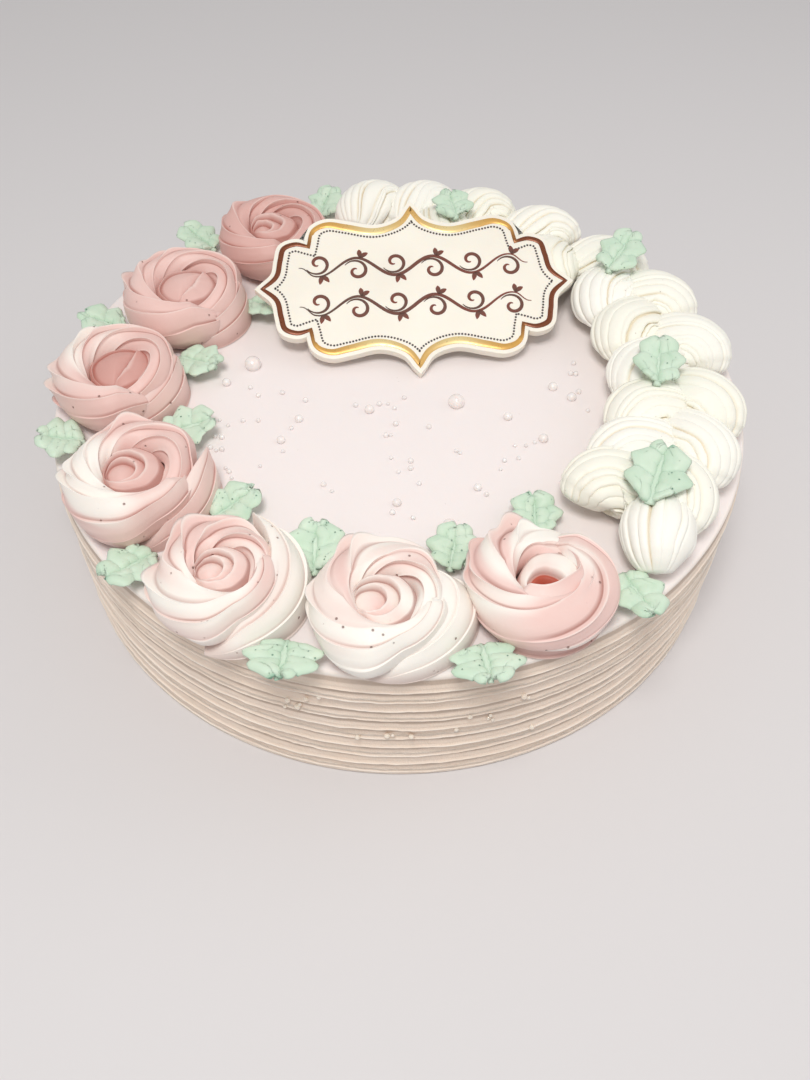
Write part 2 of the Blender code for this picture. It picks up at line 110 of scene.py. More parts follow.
def applyModifiers(piece):
    selectOnly(piece)
    for modifier in list(piece.modifiers):
        bpy.ops.object.modifier_apply(modifier=modifier.name)


def finishPiece(piece, material, nodes):
    piece.data.materials.clear()
    piece.data.materials.append(material)
    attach(piece, "root")
    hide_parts(*nodes)


def clamped(value):
    return max(0.0, min(1.0, value))


def smoothStep(value):
    value = clamped(value)
    return value * value * (3 - 2 * value)


def mixOf(first, second, share):
    return first + (second - first) * share


def wave(x, y, z):
    # smooth noise, from about -1 to 1
    return noise.noise(Vector((x, y, z)))


def ringWave(turn, reach, height):
    # the noise at a place on a ring
    return wave(cos(turn) * reach, sin(turn) * reach, height)


def headingAt(turn):
    return Vector((cos(turn), sin(turn), 0))


def splineThrough(points, steps):
    points = [Vector(point) for point in points]
    padded = [2 * points[0] - points[1]] + points + [2 * points[-1] - points[-2]]
    curve = []
    for index in range(len(points) - 1):
        a, b, c, d = padded[index:index + 4]
        for step in range(steps):
            t = step / steps
            point = 2 * b + (c - a) * t + (2 * a - 5 * b + 4 * c - d) * t * t
            point += (3 * b - a - 3 * c + d) * t * t * t
            curve.append(point / 2)
    curve.append(points[-1])
    return curve


def paintShade(piece, shades):
    painted = piece.data.attributes.new("shade", "FLOAT_COLOR", "POINT")
    painted.data.foreach_set("color", shades)


def gridSkin(name, columns, rows, spotAt):
    # a grid laid over the shape that spotAt gives for each column and row, with its shade beside it
    grid = {"x_subdivisions": columns, "y_subdivisions": rows, "size": 2}
    piece = addObject(bpy.ops.mesh.primitive_grid_add, name, **grid)
    spots = []
    shades = []
    for row in range(rows + 1):
        for column in range(columns + 1):
            spot, shade = spotAt(column, row)
            spots.extend(part * mm for part in spot)
            shades.extend((*shade, 1.0))
    piece.data.vertices.foreach_set("co", spots)
    paintShade(piece, shades)
    return piece


def copyOf(template, name, spot):
    piece = bpy.data.objects.new(name, template.data.copy())
    bpy.context.collection.objects.link(piece)
    piece.location = [part * mm for part in spot]
    return piece


# Materials

def fill(tree, node, inputs):
    # each value is another node's socket, a colour, a direction or a number
    for name, value in inputs.items():
        socket = node.inputs[name]
        if isinstance(value, bpy.types.NodeSocket):
            tree.links.new(value, socket)
        else:
            socket.default_value = (*value, 1.0) if socket.type == "RGBA" else value


def addNode(tree, kind, inputs, **values):
    node = tree.nodes.new(kind)
    for name, value in values.items():
        setattr(node, name, value)
    fill(tree, node, inputs)
    return node


def mixColours(tree, factor, first, second):
    return addNode(tree, "ShaderNodeMix", {0: factor, 6: first, 7: second}, data_type="RGBA").outputs[2]


def productOf(tree, first, second):
    return addNode(tree, "ShaderNodeMath", {0: first, 1: second}, operation="MULTIPLY").outputs[0]


def rangeOf(tree, value, low, high, start=0.0, end=1.0):
    inputs = {"Value": value, "From Min": low, "From Max": high, "To Min": start, "To Max": end}
    return addNode(tree, "ShaderNodeMapRange", inputs).outputs["Result"]


def noiseOf(tree, place, scale, detail, roughness=0.5):
    inputs = {"Vector": place, "Scale": scale, "Detail": detail, "Roughness": roughness}
    return addNode(tree, "ShaderNodeTexNoise", inputs).outputs[0]


def bumpOf(tree, height, strength, distance, normal=None, invert=False):
    inputs = {"Height": height, "Strength": strength, "Distance": distance}
    if normal:
        inputs["Normal"] = normal
    return addNode(tree, "ShaderNodeBump", inputs, invert=invert).outputs[0]


def newMaterial(name):
    material = bpy.data.materials.new(name)
    material.use_nodes = True
    return material, material.node_tree, material.node_tree.nodes["Principled BSDF"]


def objectPlace(tree):
    return addNode(tree, "ShaderNodeTexCoord", {}).outputs["Object"]


def paintedShares(tree):
    # the three shares that are painted on a mesh as its shade
    painted = addNode(tree, "ShaderNodeAttribute", {}, attribute_name="shade").outputs["Color"]
    split = addNode(tree, "ShaderNodeSeparateColor", {0: painted})
    return split.outputs[0], split.outputs[1], split.outputs[2]


def creamMaterial(name, look):
    # whipped cream: two tints mixed by the painted shade attribute, painted warm shade in creases and in
    # air-bubble pits, a third tint, fine grain and air bubbles
    material, tree, shader = newMaterial(name)
    place = objectPlace(tree)
    whiteness, crease, accent = paintedShares(tree)
    cloud = noiseOf(tree, place, look["cloudScale"], 3.0, 0.6)
    cloud = rangeOf(tree, cloud, 0.35, 0.65, 0.0, look["cloudShare"])
    grain = noiseOf(tree, place, look["grainScale"], 4.0, 0.62)
    bubble = addNode(tree, "ShaderNodeTexVoronoi", {"Vector": place, "Scale": look["bubbleScale"]})
    # air-bubble pits, used both as dents and as painted shade
    hole = rangeOf(tree, bubble.outputs["Distance"], look["bubbleSize"], look["bubbleSize"] * 0.5)
    patch = rangeOf(tree, noiseOf(tree, place, look["patchScale"], 1.0), 0.47, 0.52)
    hole = productOf(tree, hole, patch)

    # first share: white streaks with painted highlights on petal edges on the roses, the side wall's painted
    # shade on the icing
    tint = mixColours(tree, whiteness, look["main"], look["other"])
    # layers: a cloudy tone, painted shade in the creases, the third tint (a deeper pink that is partly
    # painted shade on the roses, a painted highlight on the icing's lips) and painted shade in the bubble
    # pits
    layers = {"cloud": cloud, "crease": productOf(tree, crease, look["creaseShare"]), "accent": accent,
              "hole": productOf(tree, hole, 0.8)}
    for layer, share in layers.items():
        tint = mixColours(tree, share, tint, look[layer])
    skin = bumpOf(tree, grain, rangeOf(tree, whiteness, 0, 1, *look["grainStrength"]), look["grainHeight"])
    fill(tree, shader, {
        "Base Color": tint, "Roughness": rangeOf(tree, grain, 0.3, 0.7, *look["roughness"]),
        "Normal": bumpOf(tree, hole, 0.8, look["bubbleDepth"], skin, True), "Specular IOR Level": 0.35,
        "Subsurface Weight": look["softness"], "Subsurface Scale": 0.0012,
        "Subsurface Radius": (1.0, 0.85, 0.75)})
    return material


creamLook = {
    "main": (0.85, 0.60, 0.555), "other": (0.96, 0.92, 0.86), "cloud": (0.93, 0.78, 0.73), "cloudShare": 0.12,
    # crease and hole: painted shade in creases and in air-bubble pits; accent: a deeper pink that is partly
    # painted shade
    "crease": (0.36, 0.13, 0.10), "creaseShare": 0.75, "hole": (0.25, 0.12, 0.1), "roughness": (0.42, 0.6),
    "grainScale": 900.0, "grainStrength": (0.14, 0.14), "accent": (0.45, 0.09, 0.055),
    "bubbleScale": 240.0, "bubbleSize": 0.11, "softness": 0.15, "cloudScale": 90.0, "patchScale": 60.0,
    "grainHeight": 0.0003, "bubbleDepth": 0.0004,  # metres
}


# The iced cake

cakeBody = {
    "radius": 116.0, "rimRadius": 115.0, "rimBevel": 1.2, "baseInset": 1.0,
    "lines": 10, "lineDepth": 1.55, "seed": 4, "columns": 480,
    "waver": 0.8,   # how far an edge of the comb wanders up and down
    "ragged": 0.24,  # how far it wanders in and out
    "topSwell": 0.14, "crestDrop": 0.5, "depthShares": (0.6, 1.0), "edgeShares": (0.84, 0.95),
    "topRings": (0, 12, 26, 40, 54, 68, 80, 90, 98, 104, 109, 112), "bevelSteps": 4,
}
# other: painted shade of the side wall; crease: painted shadow under the comb ledges; hole: painted shade in
# the pits; accent: painted highlight on the ledges' lips
icingLook = dict(creamLook, main=(0.89, 0.82, 0.81), other=(0.90, 0.75, 0.63), cloud=(0.93, 0.86, 0.84),
                 crease=(0.30, 0.20, 0.14), creaseShare=0.5, bubbleSize=0.03, hole=(0.35, 0.27, 0.23),
                 grainStrength=(0.08, 0.7), accent=(0.98, 0.90, 0.82), softness=0.2)


def combRows(body):
    # rows of the half section, from the middle of the top to the middle of the base:
    # radius, height, share of the side wall's painted shade, painted shadow in the crease, how much the row
    # wavers, its comb line, painted highlight on the lip
    draw = random.Random(body["seed"])
    rim = body["rimRadius"]
    bevel = body["rimBevel"]
    last = body["lines"] + 1
    rows = [(radius, iceTop, 0, 0, 0, 0, 0) for radius in (*body["topRings"], rim - bevel * 1.6)]
    for step in range(body["bevelSteps"] + 1):
        turn = pi / 2 * step / body["bevelSteps"]
        radius = rim - bevel + bevel * sin(turn)
        # the rounded rim turns into the side wall's painted shade and carries a painted highlight
        rows.append((radius, iceTop - bevel + bevel * cos(turn), 0.1 * step, 0, 0, 0, 0.2 * step))
    pitch = (iceTop - 3 * bevel) / body["lines"]
    for line in range(body["lines"]):
        top = iceTop - 2 * bevel - line * pitch
        depth = body["lineDepth"] * draw.uniform(*body["depthShares"])
        crest = body["radius"] - draw.uniform(0, body["crestDrop"])
        edge = draw.uniform(*body["edgeShares"])
        scratch = 0.4 * (line % 2) + 0.1
        # place down the line, how far out in its depth, painted shadow under the ledge above, painted
        # highlight on the lip
        profile = ((0.0, 0, 1, 0), (0.12, 0.1, 1, 0), (0.24, 0.2, 1, 0), (0.3, 0.25, 0.8, 0),
                   (0.35, 0.3, 0.2, 0), (0.42, 0.37, 0, 0), (0.56, 0.45, 0, 0),
                   (0.6, 0.45 + scratch / depth, 0, 0.5 * scratch), (0.64, 0.5, scratch, 0),
                   (0.7, 0.55, 0, 0), (0.92 * edge, 0.68, 0, 0), (0.96 * edge, 0.9, 0, 0.6),
                   (0.985 * edge, 1, 0, 1), (edge + 0.015, 0.9, 0, 0.9), (edge + 0.035, 0.5, 0.8, 0))
        for share, out, crease, lip in profile:
            radius = crest - depth + depth * out
            rows.append((radius, top - pitch * share, 1, crease, 1 if line else 0.5, line + 1, lip))
    base = body["radius"] - body["baseInset"]
    # a painted highlight on the bulge at the foot and painted shade at the very foot
    rows += [(base + 0.3, 1.4, 1, 0, 0.3, last, 0.5), (base + 0.5, 0.7, 1, 0, 0.1, last, 0.5),
             (base, 0, 1, 0.5, 0, last, 0), (60, 0, 1, 0, 0, last, 0), (0, 0, 1, 0, 0, last, 0)]
    return rows


def makeCakeBody(body):
    rows = combRows(body)
    columns = body["columns"]

    def spotAt(column, row):
        radius, height, side, crease, waver, line, lip = rows[row]
        angle = 2 * pi * (column % columns) / columns
        if waver:
            drift = ringWave(angle, 2.2, line * 7.3)
            jag = ringWave(angle, 26, line * 3.1)
            height += waver * body["waver"] * (drift + 0.45 * jag)
            jitter = ringWave(angle, 60, height * 0.9)
            swell = ringWave(angle, 9, line * 5.7)
            radius += waver * body["ragged"] * (0.6 * jitter + swell - 0.4)
            # the painted shadow and highlight waver along with the comb line
            crease = clamped(crease * (1 + 0.5 * drift))
            lip = clamped(lip * (0.75 + 0.9 * swell))
        elif 0 < radius < body["topRings"][-1] and line == 0:
            height += body["topSwell"] * ringWave(angle, radius * 0.03, 0)
        spot = (radius * cos(angle), radius * sin(angle), max(0.0, height))
        return spot, (side, crease, lip * 0.8)

    return closeMesh(gridSkin("icedCake", columns, len(rows) - 1, spotAt))


print("icing")
icedCake = makeCakeBody(cakeBody)
finishPiece(icedCake, creamMaterial("combedIcing", icingLook), ["cake"])


# Sugar pearls

pearls = {
    "large": [(-51, 9, 5.6), (19, -8, 5.4), (16, -62, 4.2)],
    "medium": [(-59, 0, 3.0), (-33, -17, 2.8), (-38, -27, 2.8), (-10, -12, 3.2), (36, -14, 3.0),
        (52, 1, 3.2), (58, -4, 3.2), (47, -24, 3.2), (0, -53, 2.8), (25, -46, 2.6)],
    "small": [(-50.7, -1.9), (-47.6, -5.8), (-39.7, -4.2), (-31.6, -7.7), (-14.7, -9.6), (-6.8, -8.8),
        (-3.9, -8.5), (-1.7, -10.6), (-1.1, -18.2), (1.5, -5.6), (-4.2, -23.6), (-2.6, -23.4),
        (-35.2, -21.1), (-36.9, -31.7), (-51.3, -18.1), (-46.3, -17.8), (-59.0, -18.0), (-55.9, -20.4),
        (-59.5, -25.6), (-57.3, -26.0), (-60.3, -30.7), (-58.3, -31.9), (-56.5, -31.4), (-54.3, -39.6),
        (-53.0, -41.1), (-51.9, -43.7), (-43.5, -38.4), (-23.0, -45.8), (-20.2, -48.5), (-2.2, -33.7),
        (4.0, -34.9), (4.0, -38.1), (0.2, -39.7), (-1.3, -56.8), (5.0, -58.7), (-0.8, -70.7),
        (-48.0, -51.2), (60.7, -0.9), (60.3, 13.8), (58.8, 8.4), (60.5, 8.2), (62.9, -10.0), (51.5, -42.8),
        (44.1, -25.4), (41.2, -27.0), (37.7, -27.1), (38.5, -32.7), (33.9, -33.9), (32.5, -37.8),
        (27.6, -48.6), (18.6, -30.0), (19.8, -30.9), (9.8, -19.3), (6.8, -44.5)],
    # degrees and height
    "side": [(-100.2, 43.3), (-102.1, 40.8), (-104.9, 37.9), (-105.5, 33.6), (-103.5, 35.6), (-103.1, 37.0),
        (-95.0, 23.4), (-90.7, 25.3), (-89.9, 25.5), (-87.2, 24.9), (-80.7, 27.0), (-78.9, 33.6),
        (-76.1, 30.5), (-75.8, 31.9), (-75.4, 29.2), (-71.1, 38.5), (-70.3, 36.9), (-68.7, 18.0)],
    "sink": 0.25, "sideSink": 0.7, "squat": 0.94, "smallSizes": (1.2, 1.95), "seed": 5,
}


def makePearl(template, x, y, z, size, side=0.0):
    pearl = copyOf(template, "pearl", (x, y, z))
    # side: share of the cake side's painted shade that the pearl takes on
    paintShade(pearl, [side, 0, 0, 1] * len(pearl.data.vertices))
    pearl.scale = (size * mm, size * mm, size * mm * pearls["squat"])
    return pearl


def makePearls(pearls):
    draw = random.Random(pearls["seed"])
    templates = []
    ball = bpy.ops.mesh.primitive_ico_sphere_add
    for detail in (4, 3, 2):
        templates.append(addObject(ball, "pearl", subdivisions=detail, radius=0.5))
        bpy.ops.object.shade_smooth()
    places = [(templates[0], *place) for place in pearls["large"]]
    places += [(templates[1], *place) for place in pearls["medium"]]
    places += [(templates[2], *place, draw.uniform(*pearls["smallSizes"])) for place in pearls["small"]]
    made = [makePearl(template, x, y, iceTop + size * (0.5 - pearls["sink"]), size)
            for template, x, y, size in places]
    for degrees, height in pearls["side"]:
        size = draw.uniform(*pearls["smallSizes"])
        spot = headingAt(radians(degrees)) * (cakeBody["radius"] - pearls["sideSink"] + size * 0.2)
        made.append(makePearl(templates[2], spot.x, spot.y, height, size, 1.0))
    for template in templates:
        bpy.data.objects.remove(template)
    return applyPlace(joinPieces(made, "sugarPearls"))


def pearlMaterial():
    material, tree, shader = newMaterial("pearlSugar")
    milky = rangeOf(tree, noiseOf(tree, objectPlace(tree), 260.0, 2.0), 0.35, 0.65)
    tint = mixColours(tree, milky, (0.84, 0.76, 0.74), (0.91, 0.85, 0.83))
    # pearls on the side wall take the side's painted shade colour
    fill(tree, shader, {
        "Base Color": mixColours(tree, paintedShares(tree)[0], tint, (0.90, 0.77, 0.66)), "Roughness": 0.16,
        "Subsurface Weight": 0.6, "Subsurface Radius": (1.0, 0.85, 0.75), "Subsurface Scale": 0.002,
        "IOR": 1.42, "Coat Weight": 0.6, "Coat Roughness": 0.05})
    return material


print("sugar pearls")
sugarPearls = makePearls(pearls)
finishPiece(sugarPearls, pearlMaterial(), ["cake"])


# Piped roses

roseTip = {
    "toothDepth": 0.14, "strandDepth": 0.018, "spread": 1.2, "sink": 0.1, "stationsPerTurn": 150,
    "innerShare": 0.74, "innerTurn": 2.6, "innerHeight": 0.6, "headTurn": 0.9, "tailTurn": 1.1,
    "fan": 0.27, "fanAt": 140, "peakSpan": 24, "waistEdge": 35,
    "depthShares": (0.75, 1.2), "toothDrift": 0.16, "depthWaver": 1.5, "swellWaver": 0.04, "fineWaver": 0.012,
    # place across a petal edge of the tip, and how deep the surface lies there
    "grooves": [(0, 0), (0.025, 0.09), (0.07, 0.2), (0.14, 0.33), (0.24, 0.46), (0.36, 0.58), (0.5, 0.69),
                (0.64, 0.79), (0.77, 0.88), (0.87, 0.96), (0.925, 1.02), (0.95, 1.04), (0.967, 0.85),
                (0.98, 0.45), (0.991, 0.15)],
    "budColumns": 96, "budDepth": 3.8, "budRise": 0.9, "budCrease": 1.9, "budFan": 0.5, "budWarp": 0.06,
    "wallGap": 1.2,
    # share of the way to the edge of a heart's petal, and how far it has fallen into the crease there
    "budFalls": [(0.04, 0.0), (0.12, 0.0), (0.3, 0.1), (0.5, 0.28), (0.68, 0.5), (0.82, 0.74), (0.92, 0.92),
                 (0.97, 1.0)],
    "domeRise": 1.7, "domeBack": 1.5, "domeFront": 2.4,
    "wingTeeth": 3, "wingSteps": 12,
    # reach from the wing's edge, and share of its height
    "wingInside": [(-2.0, 0), (-1.5, 0.35), (-0.9, 0.72), (-0.35, 0.93), (-0.1, 0.985)],
}
# path: radius that the bag goes round at; outer, inner: half widths of the rope; teeth, slant: how many petal
# edges it has and how fast they wind; length: how far round, in radians; endTurn: degrees where it stops;
# tail, out, drop, narrow: how long its tail is, and how far it runs outwards, sinks and thins;
# bud: where the edges of the heart's petals lie; heartAt: the heart's place; budTurn: the side they spring
# from; split: direction of the edge across the heart; hollow: how deep the heart is; peaks: degrees and
# reach of the petals' points; pale: degrees, amount and lowest height of a paler side; white, streak,
# blushAndShade, heart: how much white and deeper pink is in the cream, the deeper pink partly painted shade
# (on rose_1 in the plaque's shadow, and in the sunken heart); wing: a last petal that stands off the rope, as
# degrees, radius and height of its edge and radius of its foot; waist: degrees, amount and span where the
# rope makes room for it
plain = dict(teeth=8, slant=0.72, inner=4.9, length=8.1, tail=1.2, out=0, drop=0.1, narrow=0, hollow=0,
             split=0, peaks=[(150, 2)], pale=(150, 0.1, 0), blushAndShade=0, streak=0.5, wing=None, wingWhite=0.5,
             wingDepth=0.1, waist=None)
roses = {
    # rose_1's deeper pink also paints the shadow that the plaque casts on it
    "rose_1": dict(plain, x=-48.5, y=72, path=13.4, outer=8.1, height=18.5, endTurn=340, white=-0.2,
        streak=0.1, blushAndShade=0.31, heart=0.36, bud=(7, 11.5, 17), heartAt=(0.5, -0.5), budTurn=200),
    "rose_2": dict(plain, x=-75.9, y=33.5, path=14.6, outer=7.6, height=20.0, endTurn=350, white=-0.15,
        streak=0.2, pale=(150, 0.15, 8), blushAndShade=0.09, heart=0.23, peaks=[(165, 2.5), (120, 1.5)],
        bud=(12.5, 20), heartAt=(0.8, -1), budTurn=165, split=-20, wingWhite=-0.1, waist=(-30, 0.35, 75),
        wing=[(-88, 14.4, 7, 18), (-64, 14.5, 11, 19), (-40, 14.8, 13.8, 20.2), (-16, 15.4, 15.2, 21.2),
        (2, 16.6, 15.4, 21.6), (16, 18.4, 14.6, 21.2)]),
    "rose_3": dict(plain, x=-91.6, y=-8.5, path=14.0, outer=7.6, height=19.0, endTurn=345, white=-0.12,
        streak=0.45, pale=(150, 0.55, 9), blushAndShade=0.07, heart=0.5, peaks=[(195, 2.5), (130, 1.5)],
        bud=(12.5, 19.5), heartAt=(1.5, -1), budTurn=175, split=-15, wingWhite=-0.05, waist=(-20, 0.35, 75),
        wing=[(-90, 14, 6.5, 18.4), (-62, 14.2, 10.4, 19.4), (-36, 14.4, 13, 20.4), (-10, 15, 14.4, 21.2),
        (8, 16.4, 14.6, 21.4), (24, 18.8, 13.6, 21)]),
    "rose_4": dict(plain, x=-77.0, y=-54.5, path=13.6, outer=8.4, teeth=9, height=19.5, length=8.5,
        endTurn=36, wing=[(-90, 14.5, 6, 20), (-60, 14.8, 10, 21), (-36, 15, 12.4, 22),
        (-14, 15.6, 14, 22.8), (4, 16.8, 14.8, 23.4), (19, 19.4, 14.6, 23.8), (32, 22.4, 13, 23.4)],
        wingWhite=0.1, waist=(-20, 0.45, 75), white=0.0, pale=(200, 0.85, 15), blushAndShade=0.03, heart=0.21,
        peaks=[(108, 3), (188, 2)], bud=(8.8, 12.2, 17), heartAt=(0, -0.8), budTurn=195),
    "rose_5": dict(plain, x=-46.8, y=-89.4, path=11.0, outer=10.1, inner=3.8, height=17.5, length=9.0,
        endTurn=74, waist=(-8, 0.5, 95), white=0.14, streak=0.75, pale=(240, 0.35, 0), heart=-0.1,
        wing=[(-105, 12.5, 7, 20), (-75, 12.4, 10, 21.8), (-45, 12.2, 12.4, 22.6), (-20, 12.4, 14, 23.6),
        (8, 13.2, 15, 24.2), (34, 14.8, 15.6, 24.6), (56, 17.2, 15.6, 23.8), (74, 20.4, 14.4, 21.2)],
        wingWhite=0.75, peaks=[(128, 3), (185, 2)], bud=(7.6, 11, 15.5), heartAt=(0.3, -0.6), budTurn=185),
    "rose_6": dict(plain, x=-1.5, y=-97.4, path=12.0, outer=10.2, inner=3.8, height=16.5, length=9.0,
        endTurn=50, waist=(-22, 0.5, 85), white=0.4, streak=0.8, pale=(320, 0.5, 0), heart=-0.25,
        wing=[(-112, 12.8, 6, 19), (-80, 12.8, 8.8, 20), (-50, 12.8, 11, 21.4), (-24, 13, 12.6, 23.6),
        (0, 13.4, 13.4, 25.6), (16, 14, 13.2, 25.6), (31, 14.4, 12.6, 22.8), (44, 14.4, 12, 18)],
        wingWhite=0.95, wingDepth=0.05, peaks=[(118, 3.5), (175, 1.5)], bud=(8.8, 13, 17.5),
        heartAt=(-0.4, -1.2), budTurn=180),
    "rose_7": dict(plain, x=41.0, y=-89.0, path=11.2, outer=10.3, inner=3.6, height=17.0, length=8.3,
        endTurn=115, tail=1.6, out=1.5, narrow=0.3, white=0.02, streak=1.15, wing=[(-168, 9.4, 12.5, 14),
        (-145, 8.2, 15.4, 17), (-120, 7.3, 16.8, 19), (-92, 6.9, 17.3, 19.5), (-65, 6.4, 17.3, 19.5),
        (-42, 6.5, 17.2, 19.5), (-20, 7.6, 17, 19), (0, 9.3, 16.6, 18.5), (25, 10.1, 15.6, 17),
        (50, 10.4, 14.2, 15.5)], wingWhite=-0.6, pale=(75, 0.45, 6), heart=-0.7, hollow=7.0,
        peaks=[(112, 4), (146, 3), (180, 1.5)], bud=(10.8, 19.5), heartAt=(3.5, -1.3), budTurn=225),
}


def roundedEnd(turned, length):
    return 0.06 + 0.94 * math.sqrt(1 - (1 - clamped(turned / length)) ** 2)


def degreesFrom(angle, degrees):
    # how far a direction in radians is from one in degrees
    return abs((math.degrees(angle) - degrees + 180) % 360 - 180)


def onRose(rose, x, y, lift):
    return rose["x"] + x, rose["y"] + y, bedTop + lift


def petalEdgeHighlight(place):
    # painted highlight along the fine edge of a petal
    return smoothStep(1 - place / 0.07) if place < 0.5 else smoothStep((place - 0.975) / 0.02)


def petalCreaseShade(place, sunk):
    # painted shade in the groove beside a petal edge
    return smoothStep((sunk - 0.86) / 0.16) if place > 0.5 else 0


def footShade(lift):
    return smoothStep(1 - lift / 6) * 0.5


def edgeDrift(tip, rose, turned):
    # how far the petal edges have wound round the rope, faster where they fan out at the back left
    angle = radians(rose["endTurn"]) - (rose["length"] - turned)
    return rose["slant"] * turned + tip["fan"] * sin(angle - radians(tip["fanAt"]))


def ropeSpot(tip, rose, turned, phase, swell, crest=0.0):
    # the petals of the star tip keep their direction while the bag goes round
    left = rose["length"] - turned
    along = turned / rose["length"]
    ending = smoothStep(1 - left / rose["tail"])
    inner = smoothStep(turned / tip["innerTurn"])
    reach = rose["path"] * mixOf(tip["innerShare"], 1, inner)
    reach += tip["spread"] * (along - 0.5) + rose["out"] * ending
    height = rose["height"] * (1 - tip["sink"] * along) * (1 - rose["drop"] * ending)
    height *= mixOf(tip["innerHeight"], 1, inner)
    taper = roundedEnd(turned, tip["headTurn"]) * (0.05 + 0.95 * min(1.0, left / tip["tailTurn"]) ** 0.62)
    angle = radians(rose["endTurn"]) - left
    around = phase - edgeDrift(tip, rose, turned)
    outward = sin(around)
    width = (rose["outer"] if outward > 0 else rose["inner"]) * (1 - rose["narrow"] * ending)
    if rose["waist"] and outward > 0:
        degrees, amount, span = rose["waist"]
        width *= 1 - amount * smoothStep((span - degreesFrom(angle, degrees)) / tip["waistEdge"])
    out = reach + width * taper * swell * outward
    lift = height / 2 * (0.35 + 0.65 * taper) + height / 2 * taper * swell * cos(around)
    for degrees, peak in rose["peaks"]:
        near = smoothStep(1 - degreesFrom(angle, degrees) / tip["peakSpan"])
        point = near * peak * crest * smoothStep(outward * 1.3 + 0.3) * taper
        out += point
        lift += point * 0.5
    return out * cos(angle), out * sin(angle), max(0.0, lift)


def paleHere(rose, x, y, z):
    # share of the paler side at a place measured from the foot of the rose's middle
    degrees, amount, lowest = rose["pale"]
    near = cos(math.atan2(y, x) - radians(degrees))
    return amount * smoothStep(near + 0.1) * smoothStep((z - lowest) / 4 + 1)


def makeRope(tip, rose, name, seed):
    grooves = tip["grooves"]
    teeth = rose["teeth"]
    phases = [(tooth + place) / teeth * 2 * pi for tooth in range(teeth) for place, sunk in grooves]
    columns = len(phases)
    rows = int(tip["stationsPerTurn"] * rose["length"] / (2 * pi)) + 2
    draw = random.Random(seed)
    depths = [tip["toothDepth"] * draw.uniform(*tip["depthShares"]) for tooth in range(teeth)]
    paleness = [draw.uniform(-0.5, 0.5) for tooth in range(teeth)]
    shifts = [draw.uniform(-tip["toothDrift"], tip["toothDrift"]) for tooth in range(teeth)]

    def spotAt(column, row):
        turned = rose["length"] * max(0, min(rows - 2, row - 1)) / (rows - 2)
        if row in (0, rows):
            return onRose(rose, *ropeSpot(tip, rose, turned, 0.0, 0.0)), (rose["white"], 0, 0)
        index = column % columns
        tooth = index // len(grooves)
        place, sunk = grooves[index % len(grooves)]
        phase = phases[index] + mixOf(shifts[tooth], shifts[(tooth + 1) % teeth], place)
        depth = 0.9 + tip["depthWaver"] * wave(turned * 0.9, tooth * 3.3, seed)
        depth = depths[tooth] * max(0.1, depth)
        low = smoothStep(0.95 - 1.5 * cos(phase - edgeDrift(tip, rose, turned)))
        swell = 1.02 - depth * mixOf(sunk, 0.6, low)
        swell += tip["swellWaver"] * wave(turned * 1.4, seed * 9.1, tooth * 5.3)
        swell += tip["fineWaver"] * ringWave(phase, 2, turned * 3 + seed)
        swell += tip["strandDepth"] * ringWave(phase, 7, turned * 0.8 + seed * 5)
        crest = (1 - place) ** 2.5 if place < 0.95 else (place - 0.95) / 0.05
        x, y, z = ropeSpot(tip, rose, turned, phase, swell, crest)
        # painted highlight along the petal edges
        lip = petalEdgeHighlight(place) * (1 - low)
        streak = 1.1 * ringWave(phase, 1.3, turned * 0.5 + seed * 3.7)
        streak += 0.35 * paleness[tooth] + 0.3 * (0.5 - place)
        white = rose["white"] + rose["streak"] * streak + paleHere(rose, x, y, z)
        white = max(smoothStep(white + 0.15), (0.4 + 0.6 * rose["white"]) * lip)
        # painted shade in the grooves and near the foot
        crease = petalCreaseShade(place, sunk) * min(1.0, depth / 0.12) * (1 - low)
        crease = max(crease * (1 - 0.4 * white), footShade(z))
        # third share: a deeper pink that is partly painted shade, less on the highlighted edges
        return onRose(rose, x, y, z), (white, crease, rose["blushAndShade"] * (1 - 0.6 * lip))

    return closeMesh(gridSkin(name, columns, rows, spotAt))


def budRows(tip, rose):
    # share of the way from one edge of the heart's petals to the next, its height under the rose's top,
    # painted shade in the crease and number of the petal
    rows = [(0, -tip["budDepth"] - rose["hollow"], 0, 0)]
    for order in range(len(rose["bud"])):
        crest = tip["budRise"] * order - tip["budDepth"]
        for share, fall in tip["budFalls"]:
            sunk = 0 if order else rose["hollow"] * (1 - smoothStep(share * 1.15))
            rows.append((share, crest - tip["budCrease"] * fall - sunk, smoothStep(fall * 4 - 3), order))
        rows.append((1.0, crest - tip["budCrease"] * 0.96, 1, order))
    return rows


